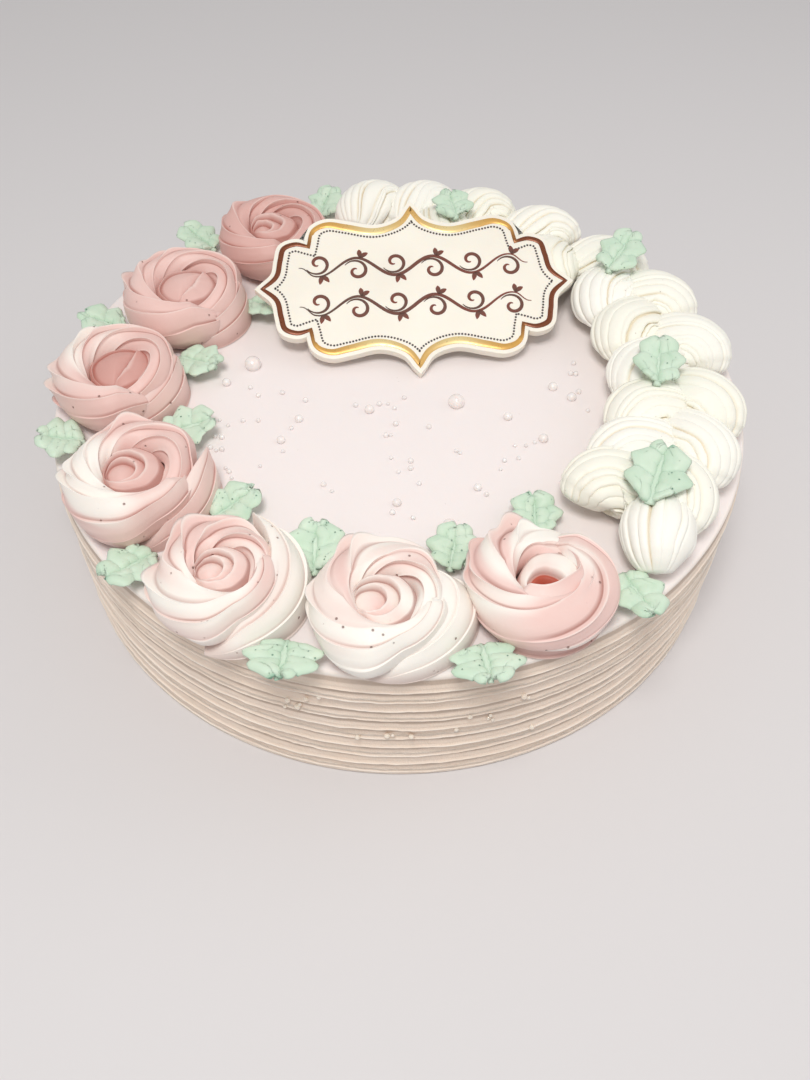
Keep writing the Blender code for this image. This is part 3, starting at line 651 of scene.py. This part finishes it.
def makeBud(tip, rose, name, seed):
    # the rose's heart: petals that all spring from about one side of it, or a dome with an edge across it
    rows = budRows(tip, rose)
    columns = tip["budColumns"]
    spring = headingAt(radians(rose["budTurn"])).xy
    across = headingAt(radians(rose["split"])).xy
    edges = rose["bud"]
    heart = Vector((rose["x"] + rose["heartAt"][0], rose["y"] + rose["heartAt"][1]))
    root = heart + spring * edges[-1] / 2

    def edgeAt(order, ring):
        # place of a petal's outer edge in the direction of the ring
        if order < 0:
            return root - spring * edges[0] / 2
        warp = 1 + tip["budWarp"] * wave(ring.x * 1.5, ring.y * 1.5, seed * 2.1)
        if order == 0 and rose["split"]:
            reach = edges[1] / 2 - 0.4
            ahead = ring.dot(across)
            if ahead > 0:
                reach = (reach ** -6 + (tip["domeFront"] / ahead) ** -6) ** (-1 / 6)
            return heart + ring * reach * warp
        return root + spring * (tip["budFan"] * order - edges[order] / 2) + ring * edges[order] / 2 * warp

    def spotAt(column, row):
        ring = headingAt(2 * pi * (column % columns) / columns).xy
        if row >= len(rows):  # the wall under the heart, and its floor
            outer = heart + ring * (edges[-1] / 2 + tip["wallGap"]) * (row < len(rows) + 2)
            lift = rose["height"] * 0.4 if row == len(rows) else 0
            # the hidden wall under the heart is painted in full shade
            return (outer.x, outer.y, bedTop + lift), (0, 1, 0)
        share, height, crease, order = rows[row]
        first = edgeAt(order - 1, ring)
        second = edgeAt(order, ring)
        if order == 0 and rose["split"]:
            first = heart - across * tip["domeBack"]
        spot = first.lerp(second, share)
        lift = rose["height"] + height
        if order:
            gap = min(1.0, (second - first).length / 2.2)
            before = rose["height"] + tip["budRise"] * (order - 1) - tip["budDepth"] - tip["budCrease"]
            lift = mixOf(before, lift, gap) + 0.35 * wave(ring.x * 2, ring.y * 2, order + seed)
            # painted shade where the petals close up on each other
            crease = mixOf(1, crease, gap)
        elif rose["split"]:
            ahead = max(0.0, ring.dot(across))
            lift = mixOf(lift, rose["height"] - tip["budDepth"], 0.6 * smoothStep(ahead * 1.4))
            lift += tip["domeRise"] * (1 - share * share)
        # a positive heart makes it pinker, partly as painted shade of the sunken heart
        white = rose["white"] - 0.2 - rose["heart"]
        white += rose["streak"] * 0.7 * wave(spot.x * 0.12, spot.y * 0.12, seed)
        # painted highlight along each petal edge of the heart
        edge = smoothStep(1 - abs(share - 0.08) / 0.1) if order else 0
        white = max(white, (0.35 + 0.6 * rose["white"]) * edge)
        blushAndShade = max(0.0, rose["heart"]) * (1 - 0.7 * edge)
        # inside a hollow heart, painted deep-red shade
        if rose["hollow"]:
            blushAndShade = smoothStep(5.9 - 6 * share) if order == 0 else 0
        return (spot.x, spot.y, bedTop + max(0.0, lift)), (smoothStep(white + 0.15), crease * 0.9, blushAndShade)

    return closeMesh(gridSkin(name, columns, len(rows) + 2, spotAt))


def makeWing(tip, rose, name, seed):
    # a ridged petal from the foot of the front to a free point, thick at its foot and fine at its edge
    stations = splineThrough(rose["wing"], tip["wingSteps"])
    inside = tip["wingInside"]
    teeth = tip["wingTeeth"]
    ridges = [(tooth, place, sunk) for tooth in range(teeth) for place, sunk in tip["grooves"]]
    ridges.append((teeth, 0, 0))
    columns = len(inside) + len(ridges)
    rows = len(stations) - 1

    def spotAt(column, row):
        degrees, reach, height, foot = stations[row]
        index = column % columns
        share = row / rows
        size = 0.15 + 0.85 * smoothStep(share / 0.2)
        reach = mixOf((reach + foot) / 2, reach, size)
        crease = lip = 0
        if row in (0, rows):
            out, lift = reach, height * (0.4 if row == 0 else 0.9)
        elif index < len(inside):
            step, level = inside[index]
            out, lift = reach + step * min(1.0, (foot - reach) / 4 + 0.2), height * size * level
        else:
            tooth, place, sunk = ridges[index - len(inside)]
            turn = pi / 2 * ((tooth + place) / teeth) ** (0.75 + 0.5 * share)
            fade = smoothStep(share / 0.25) * min(1.0, (foot - reach) / 5) * (1 - 0.5 * smoothStep(tooth - 1))
            swell = 1 - rose["wingDepth"] * sunk * fade * (1 + wave(tooth * 2.9, share * 3, seed * 3.1))
            swell += 0.02 * wave(turn * 3, share * 6, seed)
            out = reach + (foot - reach) * sin(turn) * swell
            lift = height * size * cos(turn) * swell
            # painted highlight on each petal edge and painted shade in its groove
            lip = petalEdgeHighlight(place)
            crease = petalCreaseShade(place, sunk) * fade * rose["wingDepth"] * 9
        angle = radians(degrees)
        streak = rose["streak"] * wave(index * 0.05, share * 1.5, seed * 4.3)
        white = max(smoothStep(rose["wingWhite"] + streak + 0.15), 0.5 * lip)
        # and painted shade near the foot
        crease = max(crease * (1 - 0.5 * white), footShade(lift))
        return onRose(rose, out * cos(angle), out * sin(angle), max(0.0, lift)), (white, crease, 0)

    return closeMesh(gridSkin(name, columns, rows, spotAt))


def makeRose(tip, rose, name, seed):
    pieces = [makeRope(tip, rose, name, seed), makeBud(tip, rose, "roseHeart", seed)]
    if rose["wing"]:
        pieces.append(makeWing(tip, rose, "roseWing", seed))
    return joinPieces(pieces, name)


print("roses")
roseCream = creamMaterial("roseCream", creamLook)
for index, (node, rose) in enumerate(roses.items()):
    piece = makeRose(roseTip, rose, "pipedRose" + str(index + 1), index + 1)
    finishPiece(piece, roseCream, [node])


# Braid of reverse shells

braid = {
    # degrees, and the side: 1 outer, -1 inner, 0 the first one
    "shells": [(-43.5, 0), (-34, 1), (-39, -1), (-22, 1), (-28, -1), (-10, 1), (-15, -1), (-1, -1), (7, 1),
               (14, -1), (22, 1), (27.5, -1), (37.5, 1), (46, -1), (55.5, 1), (62, -1), (71.5, 1), (78, -1),
               (85, 1), (97, 1)],
    "frontRadius": 90.8, "backRadius": 85.8, "backAngle": 60, "offset": 9.8, "notchAngle": 27.5, "notch": 3.0,
    "startRadius": 104, "startTurn": 32,
    # steps along, outwards and up of the tip's way
    "straight": [(-10, 1, 4.5), (-5, 0, 8), (1, 0, 9), (8, 0, 9), (15, 0, 7)],
    "side": [(-8.5, 1.6, 4.5), (-5.5, 1.8, 8), (0.5, -0.6, 9), (6, -6.5, 9), (10, -14, 7.5)],
    "halfWidth": 12.4, "startWidth": 10.9, "halfHeight": 9.0, "roseClearance": 1.2, "stations": 42,
    "strands": 14, "lowStrands": 3, "strandWidths": (0.4, 1.6), "strandDepths": (0.45, 0.8, 1.1, 1.5),
    "creaseDepth": 0.15, "twist": 1.5, "lowShare": 0.4, "firstTurn": -0.3, "turnSpread": 0.15, "bend": 0.16,
    "pulse": 0.035, "endFade": 0.12,
    # place across a strand, and how deep the crease is there
    "grooves": [(0, 1), (0.04, 0.64), (0.1, 0.28), (0.22, 0.06), (0.42, 0), (0.64, 0.1), (0.83, 0.34),
                (0.94, 0.68)],
}
# crease: painted shade in the grooves between strands and near the foot
ivoryLook = dict(creamLook, main=(0.94, 0.92, 0.82), other=(0.97, 0.95, 0.88), cloud=(0.97, 0.96, 0.90),
                 crease=(0.68, 0.52, 0.27), creaseShare=0.46, hole=(0.5, 0.4, 0.3), bubbleSize=0.05)


def shellRoute(braid, angle, side):
    radial = headingAt(radians(angle))
    along = Vector((-radial.y, radial.x, 0))
    if side == 0:
        reach = braid["startRadius"]
        steps = braid["straight"]
        along.rotate(Matrix.Rotation(radians(braid["startTurn"]), 3, "Z"))
    else:
        inward = (braid["frontRadius"] - braid["backRadius"]) * smoothStep(angle / braid["backAngle"])
        reach = braid["frontRadius"] - inward + side * braid["offset"]
        steps = braid["side"]
    if angle == braid["notchAngle"]:
        reach += braid["notch"]
    way = -1 if side < 0 else 1
    up = Vector((0, 0, 1))
    points = [radial * (reach + way * out) + along * step + up * lift for step, out, lift in steps]
    return splineThrough(points, 8)


def routeFrame(route, share):
    # a place on the route, with the directions across it and up from it
    spot = share * (len(route) - 1)
    low = min(int(spot), len(route) - 2)
    heading = (route[min(len(route) - 1, low + 2)] - route[max(0, low - 1)]).normalized()
    across = heading.cross(Vector((0, 0, 1))).normalized()
    return route[low].lerp(route[low + 1], spot - low), across, across.cross(heading)


def clearOfRoses(spot):
    for rose in roses.values():
        keep = rose["path"] + rose["outer"] + braid["roseClearance"]
        middle = Vector((rose["x"], rose["y"]))
        offset = spot.xy - middle
        if offset.length < keep:
            spot.xy = middle + offset.normalized() * keep
    return spot


def makeShell(braid, angle, side, seed):
    route = shellRoute(braid, angle, side)
    grooves = braid["grooves"]
    strands = braid["strands"]
    columns = strands * len(grooves)
    rows = braid["stations"]
    draw = random.Random(seed * 7)
    lowStrands = braid["lowStrands"]
    widths = [draw.uniform(*braid["strandWidths"]) for strand in range(strands - lowStrands)]
    widths = [width * (1 - braid["lowShare"]) / sum(widths) for width in widths]
    widths += [braid["lowShare"] / lowStrands] * lowStrands
    depths = [draw.choice(braid["strandDepths"]) for strand in range(strands)]
    starts = [sum(widths[:strand]) for strand in range(strands + 1)]
    shift = braid["firstTurn"] + draw.uniform(-braid["turnSpread"], braid["turnSpread"])
    halfWidth = braid["startWidth"] if side == 0 else braid["halfWidth"]
    whiteness = 0.5 + 0.5 * sin(seed * 1.7)

    def spotAt(column, row):
        share = row / rows
        point, across, upward = routeFrame(route, share)
        index = column % columns
        strand = index // len(grooves)
        place, sunk = grooves[index % len(grooves)]
        turn = 2 * pi * mixOf(starts[strand], starts[strand + 1], place) + shift
        turn += braid["bend"] * ringWave(turn, 2, seed + share * 1.5) + braid["twist"] * (share - 0.5) * side
        depth = depths[strand] if place < 0.5 else depths[(strand + 1) % strands]
        fade = smoothStep(share / braid["endFade"]) * smoothStep((1 - share) / braid["endFade"])
        groove = sunk * depth * (0.75 + 0.6 * wave(strand * 2.7, share * 2.5, seed)) * (0.4 + 0.6 * fade)
        swell = 0 if row in (0, rows) else 0.10 + 0.90 * sin(pi * (0.04 + 0.90 * share)) ** 0.62
        pulse = braid["pulse"] * wave(share * 4, seed, cos(turn) * 1.5)
        size = swell * (1.03 - braid["creaseDepth"] * groove + pulse)
        corner = point + across * halfWidth * size * cos(turn)
        corner += upward * braid["halfHeight"] * size * sin(turn)
        corner.z = max(corner.z, 0.02)
        corner = clearOfRoses(corner)
        # painted shade in the deeper grooves and near the foot
        crease = max(smoothStep((groove - 0.3) / 0.7), smoothStep(1 - corner.z / 5) * 0.6)
        return (corner.x, corner.y, bedTop + corner.z), (whiteness, crease, 0)

    return closeMesh(gridSkin("shell", columns, rows, spotAt))


print("braid")
shells = [makeShell(braid, angle, side, index + 1) for index, (angle, side) in enumerate(braid["shells"])]
pipedBraid = joinPieces(shells, "pipedBraid")
finishPiece(pipedBraid, creamMaterial("ivoryCream", ivoryLook), ["braid"])


# Leaves

leaves = {
    # heading in degrees, length and width of leaf_1 to leaf_19, the last four on the braid
    "sizes": [(75, 15, 13), (140, 16, 13), (160, 16, 14), (185, 12, 15), (225, 15, 14), (265, 12, 19),
              (280, 12, 18), (290, 16, 13), (330, 13, 12), (335, 15, 15), (20, 16, 16), (40, 15, 14),
              (90, 16, 16), (80, 13, 14), (90, 13, 14), (100, 12, 13), (60, 20, 14), (80, 18, 14),
              (70, 20, 17)],
    "columns": 44, "rows": 44, "thickness": 1.5, "tipRise": 2.2, "wingRise": 1.6, "ruffles": 2.3,
    "plump": 1.5, "firstRuffle": 0.15, "nextRuffle": 0.31, "stemWidth": 0.09, "slitAt": 0.17,
    "slitWidth": 0.06, "stem": 0.5, "slit": 0.55, "rim": 0.7, "rough": 0.4, "fine": 0.07, "wobble": 0.5,
}
# crease: painted shade in the slit and between the ruffles; hole: painted shade in the bubble pits
mintLook = dict(creamLook, main=(0.52, 0.70, 0.54), other=(0.64, 0.77, 0.63), cloud=(0.72, 0.84, 0.71),
                cloudShare=0.4, crease=(0.22, 0.50, 0.34), creaseShare=0.7, hole=(0.12, 0.28, 0.2),
                grainStrength=(0.3, 0.3), grainScale=700.0, bubbleScale=420.0, bubbleSize=0.14, softness=0.2)


def makeLeaf(leaves, name, pieceName, size, seed):
    # two ruffled wings beside a stem, each ruffle with a ragged point
    heading, length, width = size
    low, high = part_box(name)
    middle = Vector((low[0] + high[0], low[1] + high[1], 2 * low[2])) / 2 / mm
    ahead = headingAt(radians(heading))
    sideways = Vector((-ahead.y, ahead.x, 0))
    columns = leaves["columns"]
    rows = leaves["rows"]

    def spotAt(column, row):
        across = 2 * column / columns - 1
        across = math.copysign(abs(across) ** 0.85, across)
        share = row / rows
        size = abs(across)
        start = leaves["firstRuffle"] * (-1 if across < 0 else 1) + leaves["nextRuffle"] * seed
        ruffle = abs(2 * ((share * leaves["ruffles"] + start) % 1.0) - 1)
        half = width / 2 * sin(pi * min(1.0, 0.15 + 0.84 * share)) ** 0.5
        half *= 0.74 + 0.38 * (1 - ruffle) ** 1.5
        plump = (1 - ruffle ** 4) * smoothStep((size - 0.05) / 0.3) * (1 - 0.55 * size ** 3)
        stem = 0.8 * exp(-(size / leaves["stemWidth"]) ** 2) * (1 - 0.5 * share)
        slit = exp(-((size - leaves["slitAt"]) / leaves["slitWidth"]) ** 2)
        rim = max(size, abs(2 * share - 1)) ** 10
        rough = wave(across * 2.5, share * 2.5, seed * 4.4)
        fine = wave(across * 14, share * 14, seed * 2.2)
        rise = leaves["tipRise"] * share ** 2 + leaves["wingRise"] * size ** 2 + leaves["thickness"]
        rise += leaves["plump"] * plump + leaves["stem"] * stem - leaves["slit"] * slit
        rise += leaves["rough"] * rough + leaves["fine"] * fine - leaves["rim"] * rim
        spot = middle + ahead * ((share - 0.5) * length * (1 - 0.12 * size) + 0.11 * size * length)
        spot += sideways * (half * across + leaves["wobble"] * rough)
        # painted shade in the slit by the stem and where the ruffles fold
        crease = max(0.7 * slit, 0.9 * smoothStep(ruffle * 4 - 3) * smoothStep(size * 4))
        return (spot.x, spot.y, spot.z + rise), (0.5 + 0.8 * rough, crease, 0)

    piece = gridSkin(pieceName, columns, rows, spotAt)
    wall = piece.modifiers.new("Thickness", "SOLIDIFY")
    wall.thickness = leaves["thickness"] * mm
    wall.offset = -1
    applyModifiers(piece)
    return closeMesh(piece)


print("leaves")
mintCream = creamMaterial("mintCream", mintLook)
for index, size in enumerate(leaves["sizes"]):
    number = str(index + 1)
    piece = makeLeaf(leaves, "leaf_" + number, "pipedLeaf" + number, size, index + 1)
    finishPiece(piece, mintCream, ["leaf_" + number])


# Plaque

plaque = {
    "shoulder": [(0, 32), (4.6, 26), (13.3, 23.2), (23.2, 25.1), (30, 26.2), (35.3, 23.4), (37.1, 16.9)],
    "sideLobe": [(37.1, 16.9), (41.6, 18.2), (46.1, 16.3), (47.5, 11.1), (48.8, 4.9), (53.5, 0)],
    "margin": 1.8, "thickness": 3.0, "edge": 0.9, "steps": 8,
    "turn": 4.5, "foot": (6.9, 4.6), "footLift": 0.42, "tilt": 21.5,
    "borderOut": 0.45, "border": 2.5, "borderRise": 0.14, "borderSink": -0.05, "corner": 36.5, "lobe": 17,
    # distances from the plaque's middle at which the border is dark, and pale
    "darkFrom": 35.6, "darkSpan": 2.4, "paleAt": 13, "paleSpan": 9,
    "dotInset": 3.3, "dotPitch": 1.12, "dotSize": 0.4, "dotDepth": 0.16, "dotLift": 0.03, "dotClear": 0.25,
}


def cartouche(plaque, margin, steps):
    # closed outline from one quarter, mirrored twice and pushed out by the margin
    quarter = splineThrough([(x, y, 0) for x, y in plaque["shoulder"]], steps)[:-1]
    quarter += splineThrough([(x, y, 0) for x, y in plaque["sideLobe"]], steps)
    half = quarter + [Vector((point.x, -point.y, 0)) for point in reversed(quarter[:-1])]
    outline = half + [Vector((-point.x, point.y, 0)) for point in reversed(half[1:-1])]
    pushed = []
    for index, point in enumerate(outline):
        before = (point - outline[index - 1]).normalized()
        after = (outline[(index + 1) % len(outline)] - point).normalized()
        tangent = (before + after).normalized()
        normal = Vector((-tangent.y, tangent.x, 0))
        stretch = min(1.5, 1 / max(0.4, normal.dot(Vector((-before.y, before.x, 0)))))
        pushed.append(point + normal * margin * stretch)
    return pushed


def placeOnCake(plaque, piece):
    # stand the flat drawing on its foot and lean it back
    foot = min(point.y for point in cartouche(plaque, plaque["margin"], 2))
    footX, footY = plaque["foot"]
    stand = Matrix.Translation((footX * mm, footY * mm, (iceTop + plaque["footLift"]) * mm))
    turn = Matrix.Rotation(radians(plaque["turn"]), 4, "Z")
    lean = Matrix.Rotation(radians(plaque["tilt"]), 4, "X")
    piece.matrix_world = stand @ turn @ lean @ Matrix.Translation((0, -foot * mm, 0))
    applyPlace(piece)


def outlineRing(name, outline):
    # a circle's points moved to an outline
    ring = addObject(bpy.ops.mesh.primitive_circle_add, name, vertices=len(outline))
    for vertex, point in zip(ring.data.vertices, outline):
        vertex.co = point * mm
    return ring


def makePlaqueBody(plaque):
    body = outlineRing("sugarPlaque", cartouche(plaque, plaque["margin"], plaque["steps"]))
    editAll(body)
    bpy.ops.mesh.edge_face_add()
    bpy.ops.mesh.extrude_region_move(TRANSFORM_OT_translate={"value": (0, 0, plaque["thickness"] * mm)})
    endEdit()
    edge = body.modifiers.new("Edge", "BEVEL")
    edge.width = plaque["edge"] * mm
    edge.segments = 4
    edge.limit_method = "ANGLE"
    edge.angle_limit = radians(60)
    applyModifiers(body)
    bpy.ops.object.shade_smooth_by_angle(angle=radians(35))
    return body


def makeBorder(plaque):
    # gilt band just inside the edge, wider along the shoulders than at the points
    outer = cartouche(plaque, plaque["borderOut"], plaque["steps"])
    inner = cartouche(plaque, -plaque["border"], plaque["steps"])
    thin = cartouche(plaque, -plaque["borderOut"], plaque["steps"])
    count = len(outer)
    # share of the way in, and height, of the band's four lines
    lines = ((0, plaque["borderSink"]), (0.08, plaque["borderRise"]), (0.92, plaque["borderRise"]),
             (1, plaque["borderSink"]))

    def spotAt(column, row):
        start = outer[column % count]
        out = abs(start.x)
        wide = 0.35 + 0.65 * sin(pi * min(1.0, out / plaque["corner"])) ** 0.7
        if out > plaque["corner"]:
            wide = 0.14 + 0.4 * sin(pi * min(1.0, (out - plaque["corner"]) / plaque["lobe"])) ** 0.8
        inside = thin[column % count].lerp(inner[column % count], wide)
        share, lift = lines[row]
        spot = start.lerp(inside, share)
        dark = smoothStep((out - plaque["darkFrom"]) / plaque["darkSpan"])
        pale = exp(-((out - plaque["paleAt"]) / plaque["paleSpan"]) ** 2)
        return (spot.x, spot.y, plaque["thickness"] + lift), (dark, pale, 0)

    return closeMesh(gridSkin("plaqueBorder", count, len(lines) - 1, spotAt))


def walkOutline(points, pitch):
    # points at an even pitch round a closed outline
    walked = []
    left = 0.0
    for first, second in zip(points, points[1:] + points[:1]):
        length = (second - first).length
        while left < length:
            walked.append(first.lerp(second, left / length))
            left += pitch
        left -= length
    return walked


def makeDots(plaque):
    disc = {"vertices": 7, "radius": plaque["dotSize"] * mm, "depth": plaque["dotDepth"] * mm}
    template = addObject(bpy.ops.mesh.primitive_cylinder_add, "dot", **disc)
    dots = []
    edge = cartouche(plaque, 0, plaque["steps"])
    for point in walkOutline(cartouche(plaque, -plaque["dotInset"], plaque["steps"]), plaque["dotPitch"]):
        # left out where the line would cross itself in a corner
        if min((point - other).length for other in edge) >= plaque["dotInset"] - plaque["dotClear"]:
            spot = (point.x, point.y, plaque["thickness"] + plaque["dotLift"])
            dots.append(copyOf(template, "dot", spot))
    bpy.data.objects.remove(template)
    return applyPlace(joinPieces(dots, "plaqueDots"))


vine = {
    "rows": [7.9, -7.6], "halfLength": 40.5, "waves": 3, "height": 3.6, "steps": 150,
    "curl": 4.6, "curlTurns": 1.2, "curlSteps": 44, "leafLength": 3.4, "leafSteps": 8, "leafLeans": (-35, 25),
    "thick": 0.7, "leafThick": 0.91, "thin": 0.12, "rise": 0.12, "sink": -0.04, "fade": 5, "curlStart": 150,
    "curlEnd": 0.86, "curlSide": 1.6, "leafAlong": 1.4, "leafSide": 3.5, "leafTurn": 70, "leafBow": 0.35,
}


def curlPoints(vine, middle, start, way):
    # a spiral that winds in to its middle
    points = []
    for step in range(vine["curlSteps"] + 1):
        share = step / vine["curlSteps"]
        turn = start + way * vine["curlTurns"] * 2 * pi * share
        points.append(middle + headingAt(turn) * vine["curl"] * (1 - vine["curlEnd"] * share))
    return points


def vineStrokes(vine, rowY):
    # the points and the thickness of a wavy stem with a curl in each hollow and a small leaf beside it
    half = vine["halfLength"]
    waves = vine["waves"]
    stem = []
    for step in range(vine["steps"] + 1):
        x = half * (2 * step / vine["steps"] - 1)
        fade = smoothStep((half - abs(x)) / vine["fade"])
        stem.append(Vector((x, rowY + vine["height"] * fade * sin(pi * waves * x / half), 0)))
    strokes = [(stem, vine["thick"])]
    for hollow in range(-waves, waves):
        x = half * (hollow + 0.5) / waves
        side = 1 if hollow % 2 else -1
        middle = Vector((x, rowY + side * vine["curlSide"], 0))
        curl = curlPoints(vine, middle, -side * radians(vine["curlStart"]), side)
        strokes.append((curl, vine["thick"]))
        root = Vector((x + vine["leafAlong"], rowY - side * vine["leafSide"], 0))
        bow = Vector((0, vine["leafBow"], 0))
        for lean in vine["leafLeans"]:
            reach = headingAt(radians(lean - side * vine["leafTurn"])) * vine["leafLength"]
            shares = [step / vine["leafSteps"] for step in range(vine["leafSteps"] + 1)]
            leaf = [root + reach * share + bow * sin(pi * share) for share in shares]
            strokes.append((leaf, vine["leafThick"]))
    return strokes


def strokeRibbon(points, vine, top, thick):
    # flat pen stroke along the points, thick in its middle and fine at its ends
    rows = len(points) - 1
    low, high = vine["sink"], vine["rise"]
    section = ((-1, low), (-0.8, high), (0.8, high), (1, low), (-1, low))

    def spotAt(column, row):
        share = row / rows
        heading = (points[min(rows, row + 1)] - points[max(0, row - 1)]).normalized()
        side = Vector((-heading.y, heading.x, 0))
        half = vine["thin"] + (thick - vine["thin"]) * sin(pi * share) ** 0.8
        offset, lift = section[column]
        spot = points[row] + side * half * offset
        return (spot.x, spot.y, top + lift), (share, 0, 0)

    ribbon = gridSkin("stroke", len(section) - 1, rows, spotAt)
    editAll(ribbon)
    bpy.ops.mesh.remove_doubles(threshold=weldGap)
    bpy.ops.mesh.select_all(action="DESELECT")
    bpy.ops.mesh.select_non_manifold()
    bpy.ops.mesh.edge_face_add()
    endEdit()
    return ribbon


def makeOrnament(plaque, vine):
    strokes = [stroke for rowY in vine["rows"] for stroke in vineStrokes(vine, rowY)]
    ribbons = [strokeRibbon(points, vine, plaque["thickness"], thick) for points, thick in strokes]
    return joinPieces(ribbons, "plaqueOrnament")


def sugarMaterial(name, colour, shine):
    material, tree, shader = newMaterial(name)
    place = objectPlace(tree)
    powder = noiseOf(tree, place, 1400.0, 3.0)
    cloud = rangeOf(tree, noiseOf(tree, place, 40.0, 2.0), 0.3, 0.7)
    fill(tree, shader, {
        "Base Color": mixColours(tree, cloud, colour, [part * 0.93 for part in colour]),
        "Roughness": rangeOf(tree, powder, 0.3, 0.7, shine - 0.06, shine + 0.08),
        "Normal": bumpOf(tree, powder, 0.08, 0.0002),
        "Subsurface Weight": 0.2, "Subsurface Radius": (1.0, 0.8, 0.6), "Subsurface Scale": 0.001})
    return material


def inkMaterial(name, first, second, third, shine, metal):
    # printed ink or gilding that runs from one colour to another as the painted shade says
    material, tree, shader = newMaterial(name)
    dark, pale = paintedShares(tree)[:2]
    speckle = noiseOf(tree, objectPlace(tree), 1200.0, 2.0)
    fill(tree, shader, {
        "Base Color": mixColours(tree, dark, mixColours(tree, pale, first, third), second),
        "Roughness": rangeOf(tree, speckle, 0.3, 0.7, shine - 0.08, shine + 0.08), "Metallic": metal})
    return material


print("plaque")
gilding = inkMaterial("giltAndCocoa", (0.72, 0.40, 0.10), (0.20, 0.055, 0.02), (0.86, 0.68, 0.33), 0.34, 0.35)
writing = inkMaterial("cocoaInk", (0.10, 0.055, 0.04), (0.22, 0.05, 0.03), (0.16, 0.06, 0.04), 0.45, 0.0)
plaquePieces = [(makePlaqueBody(plaque), sugarMaterial("creamSugar", (0.95, 0.90, 0.80), 0.4)),
                (makeBorder(plaque), gilding),
                (makeDots(plaque), sugarMaterial("darkDots", (0.07, 0.05, 0.05), 0.5)),
                (makeOrnament(plaque, vine), writing)]
for piece, material in plaquePieces:
    placeOnCake(plaque, piece)
    finishPiece(piece, material, ["plaque"])


# Camera, light and floor

studio = {
    "lens": 33.333, "sensor": 36.0, "spot": (0.0027, -0.2563, 0.2863),
    "forward": (0.0, 0.6349, -0.7726), "up": (-0.0196, 0.7725, 0.6347),
    "sky": 0.5, "skyColour": (1.0, 0.99, 0.98), "floor": (0.72, 0.70, 0.71), "aim": (0, 0, 0.05),
    # name, place, size, power and colour
    "lights": [("keyLight", (-0.06, -0.34, 0.85), 0.3, 4.1, (1.0, 0.98, 0.95)),
               ("fillLight", (0.6, 0.1, 0.5), 0.5, 0.6, (1.0, 1.0, 1.0))],
}


def makeCamera(studio):
    camera = addObject(bpy.ops.object.camera_add, "camera", location=studio["spot"])
    forward = Vector(studio["forward"]).normalized()
    right = forward.cross(Vector(studio["up"])).normalized()
    up = right.cross(forward)
    turn = Matrix((right, up, -forward)).transposed()
    camera.rotation_euler = turn.to_euler()
    camera.data.lens = studio["lens"]
    camera.data.sensor_width = studio["sensor"]
    camera.data.clip_start = 0.01
    bpy.context.scene.camera = camera


def addSoftBox(aim, name, spot, size, power, colour):
    light = addObject(bpy.ops.object.light_add, name, type="AREA", location=spot)
    light.rotation_euler = (Vector(aim) - Vector(spot)).to_track_quat("-Z", "Y").to_euler()
    light.data.shape = "DISK"
    light.data.size = size
    light.data.energy = power
    light.data.color = colour


print("studio")
makeCamera(studio)
for light in studio["lights"]:
    addSoftBox(studio["aim"], *light)
world = bpy.data.worlds.new("studioWorld")
bpy.context.scene.world = world
world.use_nodes = True
skyTree = world.node_tree
fill(skyTree, skyTree.nodes["Background"], {"Color": studio["skyColour"], "Strength": studio["sky"]})
bpy.context.scene.view_settings.view_transform = "Standard"

floor = addObject(bpy.ops.mesh.primitive_plane_add, "studioFloor", size=6, location=(0, 0, -0.0001))
floorPaint, floorTree, floorShader = newMaterial("palePaper")
fill(floorTree, floorShader, {"Base Color": studio["floor"], "Roughness": 0.8})
floor.data.materials.append(floorPaint)
